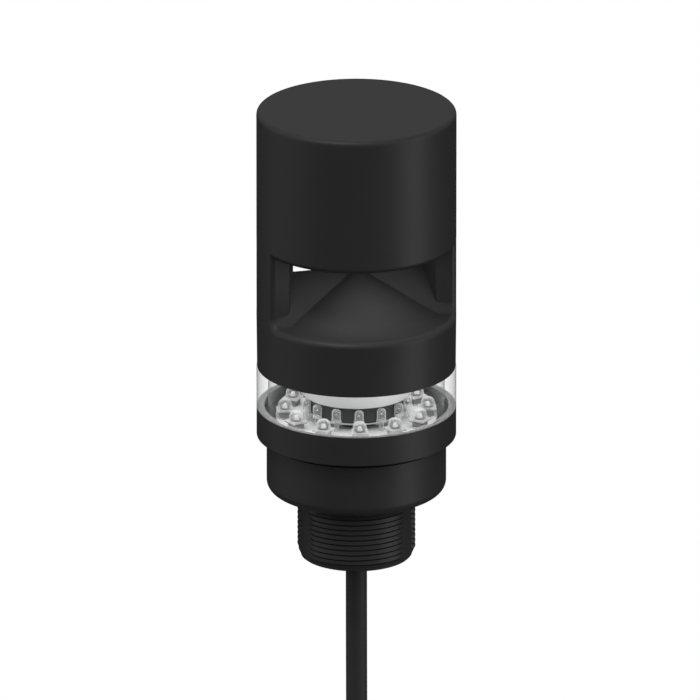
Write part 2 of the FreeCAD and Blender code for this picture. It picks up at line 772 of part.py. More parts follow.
# Base electronics: driver board on three screws, its capacitor and terminal block
driver_board = turned("driver_board", [
    ("0", "ledge_height"),
    (f"{BASE_CAVITY} - fit_clearance", "ledge_height"),
    (f"{BASE_CAVITY} - fit_clearance", DRIVER_TOP),
    ("0", DRIVER_TOP),
])
drilled(driver_board, "screw_holes", DRIVER_TOP, SCREW_SPOTS, "board_hole_diameter", "board_thickness")
keep(primitive(
    "Cylinder", "capacitor",
    {"Radius": "capacitor_diameter / 2", "Height": "capacitor_height"},
    ("0", "-capacitor_offset", DRIVER_TOP)))
keep(primitive(
    "Box", "terminal_block",
    {"Length": "terminal_length", "Width": "terminal_width", "Height": "terminal_height"},
    ("-terminal_length / 2", "terminal_offset", DRIVER_TOP)))
screws = []
for number, (across, along) in enumerate(SCREW_SPOTS, start=1):
    shank = primitive(
        "Cylinder", f"screw_{number}_shank",
        {"Radius": "screw_diameter / 2", "Height": "screw_length"},
        (across, along, f"{DRIVER_TOP} - screw_length"))
    screw_head = primitive(
        "Cylinder", f"screw_{number}_head",
        {"Radius": "screw_head_diameter / 2", "Height": "screw_head_height"},
        (across, along, DRIVER_TOP))
    screws.append(joined(f"screw_{number}", [shank, screw_head], kept=False))
grouped("base_screws", screws)

# Cable: moulded grommet, tube down to the coil, the tied coil and the bare leads
turned("grommet", [
    ("0", "-grommet_drop"),
    ("boss_throat / 2 - fit_clearance", "-grommet_drop"),
    ("boss_throat / 2 - fit_clearance", "base_floor"),
    ("boss_throat / 2 + grommet_flange", "base_floor"),
    ("boss_throat / 2 + grommet_flange", "base_floor + grommet_flange_height"),
    ("0", "base_floor + grommet_flange_height"),
])


def leads(label, centre, side, bottom, length):
    """The conductors of the cable, as straight round wires."""
    wires = []
    for index, (across, along) in enumerate(circle_spots("wire_circle / 2", "wire_count", "45")):
        wires.append(primitive(
            "Cylinder", f"{label}_{index + 1}",
            {"Radius": "wire_diameter / 2", "Height": length},
            (f"{centre} + {across}", f"{side} + {along}", bottom)))
    grouped(label, wires)


leads("supply_leads", "0", "0", "base_floor + grommet_flange_height",
      "ledge_height - base_floor - grommet_flange_height")

# The cable's route in the XZ plane, from the grommet to the coil's stub
CORNER_DROP = "(grommet_drop + cable_first_run + cable_second_run)"
ROW = "(turn_spacing * sqrt(3) / 2)"
OUTER_TURN = f"(coil_mean_radius + {ROW})"
ENTRY_REACH = f"({OUTER_TURN} / tan(coil_entry_angle * 1deg))"
LAST_RUN = f"({ENTRY_REACH} - coil_entry_stub)"
ENTRY_SIN = "sin(coil_entry_angle * 1deg)"
ENTRY_COS = "cos(coil_entry_angle * 1deg)"
COIL_CENTRE = f"(-{CORNER_DROP} - {OUTER_TURN} * {ENTRY_SIN} - {ENTRY_REACH} * {ENTRY_COS})"


def vector(across, up):
    """A point of the XZ plane from two formulas."""
    return FreeCAD.Vector(value(across), 0, value(up))


def cable_path(points, share):
    """Straight runs joined by tangent arcs, each as large as its two runs allow."""
    edges = []
    start = points[0]
    for before, corner, after in zip(points, points[1:], points[2:]):
        back = before - corner
        ahead = after - corner
        turn_half = (math.pi - back.getAngle(ahead)) / 2
        tangent = share * min(back.Length, ahead.Length)
        radius = tangent / math.tan(turn_half)
        arc_start = corner + back.normalize() * tangent
        arc_end = corner + ahead.normalize() * tangent
        inward = (back + ahead).normalize()
        middle = corner + inward * (radius / math.cos(turn_half) - radius)
        edges.append(Part.makeLine(start, arc_start))
        edges.append(Part.Arc(arc_start, middle, arc_end).toShape())
        print(f"cable arc radius {radius:.1f} mm")
        start = arc_end
    edges.append(Part.makeLine(start, points[-1]))
    return Part.Wire(edges)


ROUTE = [
    vector("0", "-grommet_drop"),
    vector("0", "-grommet_drop - cable_first_run"),
    vector("cable_waver", f"-{CORNER_DROP}"),
    vector(f"cable_waver + {LAST_RUN} * {ENTRY_SIN}", f"-{CORNER_DROP} - {LAST_RUN} * {ENTRY_COS}"),
]
path = cable_path(ROUTE, value("run_share"))
section = Part.Wire(Part.makeCircle(value("cable_diameter") / 2, ROUTE[0], ROUTE[1] - ROUTE[0]))
tube = doc.addObject("Part::Feature", "cable")
tube.Label = "cable"
tube.Shape = path.makePipeShell([section], True, False)
print(f"cable tube {tube.Shape.Volume:.1f} mm3, "
      f"section times length {math.pi / 4 * value('cable_diameter') ** 2 * path.Length:.1f} mm3")
keep(tube)

# The coil: turns stacked three, four and three, as their outer shape
HALF_DEEP = f"({ROW} + cable_diameter / 2)"
HALF_WIDE = "(turn_spacing * 1.5 + cable_diameter / 2)"
HALF_STEP = "(turn_spacing * bundle_corner + cable_diameter / 2)"


def bundle_outline(margin="0"):
    """Section across the coil's bundle, as (outward, along the coil's axis)."""
    deep = f"({HALF_DEEP} + {margin})"
    wide = f"({HALF_WIDE} + {margin})"
    step = f"({HALF_STEP} + {margin} / 2)"
    flat = f"(cable_diameter / 2 + {margin} / 2)"
    return [(f"-{deep}", f"-{step}"), (f"-{flat}", f"-{wide}"), (flat, f"-{wide}"), (deep, f"-{step}"),
            (deep, step), (flat, wide), (f"-{flat}", wide), (f"-{deep}", step)]


hank = new_body("coil_hank")
ring_sketch = new_sketch(hank, "coil_hank_profile", "XY_Plane")
draw_outline(ring_sketch, [(f"coil_mean_radius + {x}", y) for x, y in bundle_outline()])
hank_turned = hank.newObject("PartDesign::Revolution", "coil_hank_turned")
hank_turned.Profile = ring_sketch
hank_turned.ReferenceAxis = (ring_sketch, ["V_Axis"])
hank_turned.Angle = 360.0
hank.setExpression("Placement.Base.x", bound("cable_waver"))
hank.setExpression("Placement.Base.z", bound(COIL_CENTRE))
doc.recompute()


def stub(name, foot, direction, length):
    """A straight piece of the cable that leaves the coil's bundle."""
    solid = primitive(
        "Cylinder", name, {"Radius": "cable_diameter / 2", "Height": length}, foot)
    solid.Placement.Rotation = FreeCAD.Rotation(FreeCAD.Vector(0, 0, 1), direction)
    return solid


entry = stub(
    "coil_entry",
    (f"cable_waver + {OUTER_TURN} * {ENTRY_COS}", "0",
     f"{COIL_CENTRE} + {OUTER_TURN} * {ENTRY_SIN}"),
    vector(f"-{ENTRY_SIN}", ENTRY_COS), "coil_entry_stub")
tail = stub(
    "coil_tail_stub", (f"cable_waver + {OUTER_TURN}", "-turn_spacing", f"{COIL_CENTRE} - coil_tail"),
    FreeCAD.Vector(0, 0, 1), "coil_tail")
joined("cable_coil", [hank, entry, tail])
leads("bare_leads", f"cable_waver + {OUTER_TURN}", "-turn_spacing",
      f"{COIL_CENTRE} - coil_tail - wire_length", "wire_length")

tie_outer = extruded(
    "tie_outer",
    free_sketch("tie_outer_section",
                [(y, x) for x, y in bundle_outline("(tie_clearance + tie_thickness)")],
                ACROSS, f"{COIL_CENTRE} + coil_mean_radius"),
    "tie_width / 2", "tie_width / 2")
tie_inner = extruded(
    "tie_inner",
    free_sketch("tie_inner_section",
                [(y, x) for x, y in bundle_outline("tie_clearance")],
                ACROSS, f"{COIL_CENTRE} + coil_mean_radius"),
    "tie_width", "tie_width")
tie = doc.addObject("Part::Cut", "cable_tie")
tie.Base = tie_outer
tie.Tool = tie_inner
tie.Label = "cable_tie"
keep(tie)

doc.recompute()
for item in doc.Objects:
    if "Invalid" in item.State or "Error" in item.State:
        raise RuntimeError(f"{item.Label} is {item.State}")

os.makedirs("parts", exist_ok=True)
for piece in pieces:
    if piece.Shape.isNull() or not piece.Shape.isValid():
        raise RuntimeError(f"{piece.Label} has no valid shape")
    piece.Shape.exportStep(f"parts/{piece.Label}.step")
    print(f"{piece.Label}: {len(piece.Shape.Solids)} solid, {piece.Shape.Volume:.1f} mm3")
print(f"{len(pieces)} pieces")
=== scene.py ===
"""Looks of the stack light: black moulded column, clear light segment, sound windows and cable.

Metres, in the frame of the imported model: +Z up, the origin where the base seats on its panel.
"""

import json
import logging
import math
from dataclasses import dataclass
from enum import Enum
from typing import Any, Iterable, Sequence, Union

import bmesh
import bpy
from mathutils import Matrix, Vector


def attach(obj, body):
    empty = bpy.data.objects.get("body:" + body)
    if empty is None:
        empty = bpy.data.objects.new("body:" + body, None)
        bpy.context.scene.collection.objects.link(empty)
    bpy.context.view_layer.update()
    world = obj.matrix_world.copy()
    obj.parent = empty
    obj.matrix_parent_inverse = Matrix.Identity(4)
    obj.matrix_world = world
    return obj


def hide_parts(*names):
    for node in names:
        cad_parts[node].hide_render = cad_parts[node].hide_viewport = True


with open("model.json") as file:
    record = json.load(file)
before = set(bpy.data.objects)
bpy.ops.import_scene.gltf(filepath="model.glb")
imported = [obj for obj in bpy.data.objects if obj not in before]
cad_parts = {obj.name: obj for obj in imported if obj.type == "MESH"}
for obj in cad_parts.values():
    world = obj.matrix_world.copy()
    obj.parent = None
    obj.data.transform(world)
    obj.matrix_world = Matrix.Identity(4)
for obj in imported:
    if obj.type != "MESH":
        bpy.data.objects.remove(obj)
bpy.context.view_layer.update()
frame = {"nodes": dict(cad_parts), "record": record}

log = logging.getLogger("stack_light")

MM = 0.001
TURN = 2 * math.pi
STEPS = 192
WELD = 2e-6
RING_REACH = 5 * WELD
ROUND_FACES = 2
PATCH_DETAIL = 2.0
GRAIN_DETAIL = 4.0
ROOT = "root"

Colour = tuple[float, float, float]
Value = Union[float, Sequence[float], "Signal"]


class Slot(Enum):
    """Material slots of the record."""

    HOUSING = "black_housing"
    LENS = "clear_lens"
    OPTIC = "clear_optic"
    BOARD = "pale_board"
    GREEN_BOARD = "green_board"
    CORE = "dark_core"
    REFLECTOR = "grey_reflector"
    SEAL = "rubber_seal"
    STEEL = "steel"
    FERRITE = "ferrite"
    COIL = "coil_wire"
    CONE = "cone_film"
    COMPONENT = "component"
    WIRE = "wire"
    JACKET = "cable_jacket"
    TIE = "tie_nylon"


class Signal:
    """A shader socket that takes part in arithmetic."""

    def __init__(self, graph: "Graph", socket: bpy.types.NodeSocket) -> None:
        """Wrap an output socket of a graph."""
        self.graph = graph
        self.socket = socket

    def _maths(self, operation: str, left: Value, right: Value) -> "Signal":
        """Add a Math node for two operands."""
        return self.graph.node("ShaderNodeMath", {"operation": operation}, {0: left, 1: right})

    def __add__(self, other: Value) -> "Signal":
        """Sum."""
        return self._maths("ADD", self, other)

    def __radd__(self, other: Value) -> "Signal":
        """Sum with the signal on the right."""
        return self._maths("ADD", other, self)

    def __sub__(self, other: Value) -> "Signal":
        """Difference."""
        return self._maths("SUBTRACT", self, other)

    def __rsub__(self, other: Value) -> "Signal":
        """Difference with the signal on the right."""
        return self._maths("SUBTRACT", other, self)

    def __mul__(self, other: Value) -> "Signal":
        """Product."""
        return self._maths("MULTIPLY", self, other)

    def __rmul__(self, other: Value) -> "Signal":
        """Product with the signal on the right."""
        return self._maths("MULTIPLY", other, self)

    def __pow__(self, other: Value) -> "Signal":
        """Power."""
        return self._maths("POWER", self, other)


class Graph:
    """The node tree of one material or world."""

    def __init__(self, tree: bpy.types.NodeTree) -> None:
        """Take an empty tree."""
        self.tree = tree
        self.tree.nodes.clear()

    def feed(self, socket: bpy.types.NodeSocket, value: Value) -> None:
        """Link or set one input socket."""
        if isinstance(value, Signal):
            self.tree.links.new(value.socket, socket)
        else:
            socket.default_value = value

    def node(self, kind: str, settings: dict[str, Any] | None = None,
             inputs: dict[Any, Value] | None = None, output: Any = 0) -> "Signal | None":
        """Add a node.

        Args:
            kind: the node's type.
            settings: attributes of the node, which are set first.
            inputs: socket name or number to a value or a link.
            output: name or number of the output that is returned.

        Returns:
            The chosen output as a signal, or nothing for an output node.
        """
        made = self.tree.nodes.new(kind)
        for name, value in (settings or {}).items():
            setattr(made, name, value)
        for key, value in (inputs or {}).items():
            self.feed(made.inputs[key], value)
        return Signal(self, made.outputs[output]) if len(made.outputs) else None

    def place(self, scale: float) -> Signal:
        """Object coordinates times a scale."""
        where = self.node("ShaderNodeTexCoord", output="Object")
        return self.node("ShaderNodeVectorMath", {"operation": "SCALE"}, {0: where, "Scale": scale})

    def noise(self, size_mm: float, detail: float) -> Signal:
        """Noise whose lumps are about a size in millimetres."""
        return self.node("ShaderNodeTexNoise", {"noise_dimensions": "3D"},
                         {"Vector": self.place(1.0 / (size_mm * MM)), "Scale": 1.0, "Detail": detail})

    def blend(self, factor: Value, first: Colour, second: Colour) -> Signal:
        """A mix of two colours."""
        return self.node("ShaderNodeMix", {"data_type": "RGBA"},
                         {0: factor, 6: (*first, 1.0), 7: (*second, 1.0)}, output=2)

    def bump(self, height: Signal, depth_mm: float) -> Signal:
        """Surface relief of a depth in millimetres."""
        return self.node("ShaderNodeBump", None,
                         {"Height": height, "Distance": depth_mm * MM, "Strength": 1.0})


def shade(colour: Colour, factor: float) -> Colour:
    """A colour made darker or lighter."""
    return tuple(min(1.0, part * factor) for part in colour)


def new_material(name: str) -> tuple[bpy.types.Material, Graph]:
    """An empty material and its graph."""
    material = bpy.data.materials.new(name)
    material.use_nodes = True
    return material, Graph(material.node_tree)


@dataclass(frozen=True)
class Moulding:
    """Opaque surface with a fine grain: moulded plastic, rubber, board, film or metal."""

    name: str
    colour: Colour
    roughness: float
    metallic: float = 0.0
    specular: float = 0.5
    coat: float = 0.0
    grain_mm: float = 0.35
    grain_depth_mm: float = 0.004
    patch_mm: float = 9.0
    patch_contrast: float = 0.08
    roughness_spread: float = 0.06

    def material(self) -> bpy.types.Material:
        """The finish as a material."""
        material, graph = new_material(self.name)
        patches = graph.noise(self.patch_mm, PATCH_DETAIL)
        grain = graph.noise(self.grain_mm, GRAIN_DETAIL)
        colour = graph.blend(patches, shade(self.colour, 1 - self.patch_contrast),
                             shade(self.colour, 1 + self.patch_contrast))
        roughness = patches * self.roughness_spread + (self.roughness - self.roughness_spread / 2)
        surface = graph.node("ShaderNodeBsdfPrincipled", None, {
            "Base Color": colour,
            "Roughness": roughness,
            "Metallic": self.metallic,
            "Specular IOR Level": self.specular,
            "Coat Weight": self.coat,
            "Normal": graph.bump(grain, self.grain_depth_mm),
        })
        graph.node("ShaderNodeOutputMaterial", None, {"Surface": surface})
        return material


@dataclass(frozen=True)
class ClearWall:
    """Clear plastic: nearly invisible face on, paler and denser at a glancing view."""

    name: str
    colour: Colour
    face_on: float
    edge_on: float
    sharpness: float
    roughness: float
    roughness_spread: float = 0.04
    specular: float = 0.6
    wisp_mm: float = 14.0
    rim_sharpness: float = 16.0
    rim_shade: float = 0.25

    def material(self) -> bpy.types.Material:
        """The finish as a material."""
        material, graph = new_material(self.name)
        facing = graph.node("ShaderNodeLayerWeight", None, {"Blend": 0.5}, output="Facing")
        wisps = graph.noise(self.wisp_mm, PATCH_DETAIL)
        density = facing ** self.sharpness * (self.edge_on - self.face_on) + self.face_on
        rim = graph.node("ShaderNodeMath", {"operation": "POWER", "use_clamp": True},
                         {0: facing, 1: self.rim_sharpness})
        surface = graph.node("ShaderNodeBsdfPrincipled", None, {
            "Base Color": graph.blend(rim, self.colour, shade(self.colour, self.rim_shade)),
            "Roughness": wisps * self.roughness_spread + self.roughness,
            "Alpha": density,
            "Specular IOR Level": self.specular,
        })
        graph.node("ShaderNodeOutputMaterial", None, {"Surface": surface})
        return material


Finish = Union[Moulding, ClearWall]

BLACK = Moulding("black satin moulding", (0.0205, 0.0205, 0.021), roughness=0.5, specular=0.33,
                 grain_mm=0.3, grain_depth_mm=0.003)
LENS_CLEAR = ClearWall("clear lens", (0.46, 0.47, 0.47), face_on=0.015, edge_on=0.8,
                       sharpness=3.6, roughness=0.08)
# Pale ring at the foot of the lens: a painted highlight along the lens's bottom edge.
LENS_FOOT_HIGHLIGHT = ClearWall("painted highlight at the foot of the lens", (0.9, 0.9, 0.9), face_on=0.13, edge_on=0.2,
                      sharpness=1.0, roughness=0.5)
OPTIC_CLEAR = ClearWall("clear lamp resin", (0.97, 0.98, 0.98), face_on=0.16, edge_on=1.0,
                        sharpness=1.8, roughness=0.05)
PALE_BOARD = Moulding("pale board", (0.8, 0.81, 0.8), roughness=0.5, grain_mm=0.5, grain_depth_mm=0.003)
LAMP_BODY = Moulding("lamp body", (0.3, 0.3, 0.3), roughness=0.4, grain_mm=0.3)
PAD_METAL = Moulding("tinned pads", (0.75, 0.75, 0.74), roughness=0.3, metallic=1.0, grain_mm=0.2)
# Thin dark strips on the board: painted shadow at the edge of each lamp's flange.
PAINTED_FLANGE_SHADOW = Moulding("painted shadow under the lamp flanges", (0.05, 0.05, 0.05), roughness=0.5)
LAMP_CUP = Moulding("lamp cup", (0.13, 0.13, 0.13), roughness=0.3, grain_mm=0.2)
# White die, bright enough to paint the highlight inside each lamp dome.
DIE_AND_PAINTED_HIGHLIGHT = Moulding("white die and painted highlight", (0.9, 0.9, 0.88), roughness=0.3, grain_mm=0.2)
CORE_DARK = Moulding("dark core", (0.045, 0.046, 0.048), roughness=0.55, grain_mm=0.3)
REFLECTOR_GREY = Moulding("light grey reflector", (0.66, 0.67, 0.67), roughness=0.42, grain_mm=0.3)
GREEN_BOARD = Moulding("green board", (0.02, 0.12, 0.05), roughness=0.35, coat=0.3, grain_mm=0.5)
RUBBER = Moulding("black rubber", (0.02, 0.02, 0.02), roughness=0.7, grain_mm=0.25, grain_depth_mm=0.008)
ZINC = Moulding("zinc plated steel", (0.62, 0.62, 0.63), roughness=0.32, metallic=1.0, grain_mm=0.15)
FERRITE = Moulding("ferrite", (0.045, 0.045, 0.05), roughness=0.6, grain_mm=0.2, grain_depth_mm=0.01)
COPPER = Moulding("copper", (0.72, 0.32, 0.16), roughness=0.3, metallic=1.0, grain_mm=0.15)
FILM = Moulding("driver cone film", (0.05, 0.05, 0.055), roughness=0.45, grain_mm=0.8)
COMPONENT = Moulding("component body", (0.03, 0.08, 0.16), roughness=0.35, grain_mm=0.4)
BROWN_WIRE = Moulding("brown insulation", (0.13, 0.05, 0.02), roughness=0.4, grain_mm=0.4)
RED_WIRE = Moulding("red insulation", (0.42, 0.03, 0.02), roughness=0.4, grain_mm=0.4)
WHITE_WIRE = Moulding("white insulation", (0.75, 0.75, 0.73), roughness=0.4, grain_mm=0.4)
BLACK_WIRE = Moulding("black insulation", (0.02, 0.02, 0.02), roughness=0.4, grain_mm=0.4)
JACKET = Moulding("black cable jacket", (0.027, 0.027, 0.028), roughness=0.55, specular=0.2,
                  grain_mm=0.6, grain_depth_mm=0.006)
NYLON = Moulding("black nylon tie", (0.02, 0.02, 0.02), roughness=0.35, grain_mm=0.5)


class Finishes:
    """Materials made once and shared by the pieces."""

    def __init__(self) -> None:
        """Start with none."""
        self._made: dict[str, bpy.types.Material] = {}

    def get(self, finish: Finish) -> bpy.types.Material:
        """The material of a finish."""
        if finish.name not in self._made:
            self._made[finish.name] = finish.material()
        return self._made[finish.name]


FINISHES = Finishes()


@dataclass(frozen=True)
class Peg:
    """An upright round form in millimetres; its foot counts from the level that it stands on."""

    lower: float
    upper: float
    foot: float
    height: float
    crown: float = 0.0
    segments: int = 28
    crown_segments: int = 4


LAMP_DOME = Peg(lower=1.95, upper=1.5, foot=0.4, height=2.5, crown=1.05, crown_segments=6)
LAMP_CUP_FORM = Peg(lower=1.25, upper=1.4, foot=0.42, height=0.3, crown=0.1, segments=20)
# The lamp die is drawn large and white: a painted highlight inside the dome.
LAMP_DIE_HIGHLIGHT_FORM = Peg(lower=0.75, upper=0.4, foot=0.73, height=0.95, crown=0.2, segments=14)
BULLET_STEM = Peg(lower=0.62, upper=0.62, foot=0.01, height=2.45, segments=20)
BULLET = Peg(lower=1.15, upper=1.15, foot=2.41, height=3.4, crown=1.0, crown_segments=7)
BULLET_CUP = Peg(lower=0.36, upper=0.52, foot=3.9, height=0.35, segments=16)
BULLET_DIE = Peg(lower=0.24, upper=0.18, foot=4.26, height=0.2, segments=12)


class Piece:
    """A mesh under work, in metres, that ends as one object of the scene."""

    def __init__(self) -> None:
        """Start with an empty mesh."""
        self.bm = bmesh.new()

    def turn(self, outline: Sequence[tuple[float, float]], closed: bool = True) -> "Piece":
        """Spin an outline about the Z axis.

        Args:
            outline: (radius, height) corners in millimetres.
            closed: True for a ring; False where both ends lie on the axis.

        Returns:
            The piece.
        """
        corners = [self.bm.verts.new((radius * MM, 0.0, height * MM)) for radius, height in outline]
        pairs = list(zip(corners, corners[1:] + corners[:1])) if closed else list(zip(corners, corners[1:]))
        edges = [self.bm.edges.new(pair) for pair in pairs]
        bmesh.ops.spin(self.bm, geom=corners + edges, cent=(0, 0, 0), axis=(0, 0, 1), dvec=(0, 0, 0),
                       angle=TURN, steps=STEPS, use_merge=True)
        bmesh.ops.remove_doubles(self.bm, verts=self.bm.verts[:], dist=WELD)
        bmesh.ops.recalc_face_normals(self.bm, faces=self.bm.faces[:])
        return self

    def round_ring(self, radius: float, height: float, size: float, segments: int = 4) -> "Piece":
        """Round the full circle of edges at one radius and height, in millimetres."""
        def on_ring(vert: bmesh.types.BMVert) -> bool:
            reach = math.hypot(vert.co.x, vert.co.y)
            return abs(reach - radius * MM) < RING_REACH and abs(vert.co.z - height * MM) < RING_REACH

        edges = [edge for edge in self.bm.edges if all(on_ring(vert) for vert in edge.verts)]
        bmesh.ops.bevel(self.bm, geom=edges, offset=size * MM, offset_type="OFFSET", segments=segments,
                        profile=0.5, affect="EDGES", clamp_overlap=True, material=-1)
        return self

    def edges_among(self, verts: Iterable[bmesh.types.BMVert]) -> list[bmesh.types.BMEdge]:
        """The edges that join some of the vertices, in the order of the mesh."""
        wanted = set(verts)
        return [edge for edge in self.bm.edges if all(end in wanted for end in edge.verts)]

    def block(self, size: tuple[float, float, float], centre: tuple[float, float, float],
              turn_deg: float = 0.0, bevel: float = 0.0, top_scale: float = 1.0) -> "Piece":
        """Add a bevelled block, turned about the Z axis after it is placed at the front.

        Args:
            size: width, depth and height in millimetres.
            centre: its middle in millimetres, before the turn.
            turn_deg: turn about the axis, counted from the front towards +X.
            bevel: edge round in millimetres.
            top_scale: width of the top over that of the bottom.

        Returns:
            The piece.
        """
        made = bmesh.ops.create_cube(self.bm, size=1.0)["verts"]
        for vert in made:
            if vert.co.z > 0:
                vert.co.x *= top_scale
                vert.co.y *= top_scale
        bmesh.ops.scale(self.bm, vec=Vector(size) * MM, verts=made)
        bmesh.ops.translate(self.bm, vec=Vector(centre) * MM, verts=made)
        bmesh.ops.rotate(self.bm, cent=(0, 0, 0), matrix=Matrix.Rotation(math.radians(turn_deg), 3, "Z"),
                         verts=made)
        if bevel > 0:
            bmesh.ops.bevel(self.bm, geom=self.edges_among(made), offset=bevel * MM, offset_type="OFFSET",
                            segments=ROUND_FACES, profile=0.5, affect="EDGES", clamp_overlap=True,
                            material=-1)
        return self

    def peg(self, form: Peg, level: float, distance: float, turn_deg: float) -> "Piece":
        """Add an upright round peg at a distance from the axis.

        Args:
            form: its sizes.
            level: height that its foot counts from, in millimetres.
            distance: distance of its axis from the column's axis.
            turn_deg: turn about the column's axis, counted from the front towards +X.

        Returns:
            The piece.
        """
        foot = level + form.foot
        made = bmesh.ops.create_cone(self.bm, cap_ends=True, cap_tris=False, segments=form.segments,
                                     radius1=form.lower * MM, radius2=form.upper * MM,
                                     depth=form.height * MM)["verts"]
        top = max(vert.co.z for vert in made)
        bmesh.ops.translate(self.bm, vec=(0, -distance * MM, (foot + form.height / 2) * MM), verts=made)
        bmesh.ops.rotate(self.bm, cent=(0, 0, 0), matrix=Matrix.Rotation(math.radians(turn_deg), 3, "Z"),
                         verts=made)
        if form.crown > 0:
            summit = top + (foot + form.height / 2) * MM
            edges = [edge for edge in self.edges_among(made)
                     if all(abs(end.co.z - summit) < WELD for end in edge.verts)]
            bmesh.ops.bevel(self.bm, geom=edges, offset=form.crown * MM, offset_type="OFFSET",
                            segments=form.crown_segments, profile=0.5, affect="EDGES",
                            clamp_overlap=True, material=-1)
        return self

    def from_node(self, node: str) -> "Piece":
        """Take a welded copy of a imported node's mesh."""
        self.bm.from_mesh(frame["nodes"][node].data)
        bmesh.ops.remove_doubles(self.bm, verts=self.bm.verts[:], dist=WELD)
        bmesh.ops.dissolve_degenerate(self.bm, edges=self.bm.edges[:], dist=WELD)
        return self

    def object(self, name: str, finish: Finish, slot: Slot, nodes: Iterable[str] = (),
               crease_deg: float = 32.0, weighted: bool = True) -> bpy.types.Object:
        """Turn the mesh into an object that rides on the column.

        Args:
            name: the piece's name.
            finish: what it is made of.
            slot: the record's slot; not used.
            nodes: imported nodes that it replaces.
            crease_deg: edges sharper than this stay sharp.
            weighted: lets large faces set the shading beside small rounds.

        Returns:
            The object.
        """
        for face in self.bm.faces:
            face.smooth = True
        for edge in self.bm.edges:
            edge.smooth = len(edge.link_faces) == 2 and edge.calc_face_angle(0.0) < math.radians(crease_deg)
        mesh = bpy.data.meshes.new(name)
        self.bm.to_mesh(mesh)
        self.bm.free()
        mesh.materials.append(FINISHES.get(finish))
        piece = bpy.data.objects.new(name, mesh)
        bpy.context.scene.collection.objects.link(piece)
        if weighted:
            normals = piece.modifiers.new("weighted normals", "WEIGHTED_NORMAL")
            normals.keep_sharp = True
        return ride(piece, nodes)


def ride(piece: bpy.types.Object, nodes: Iterable[str] = ()) -> bpy.types.Object:
    """Let a piece ride on the column and stand for its nodes."""
    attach(piece, ROOT)
    if nodes:
        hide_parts(*nodes)
    log.info("%s: %d nodes replaced", piece.name, len(list(nodes)))
    return piece


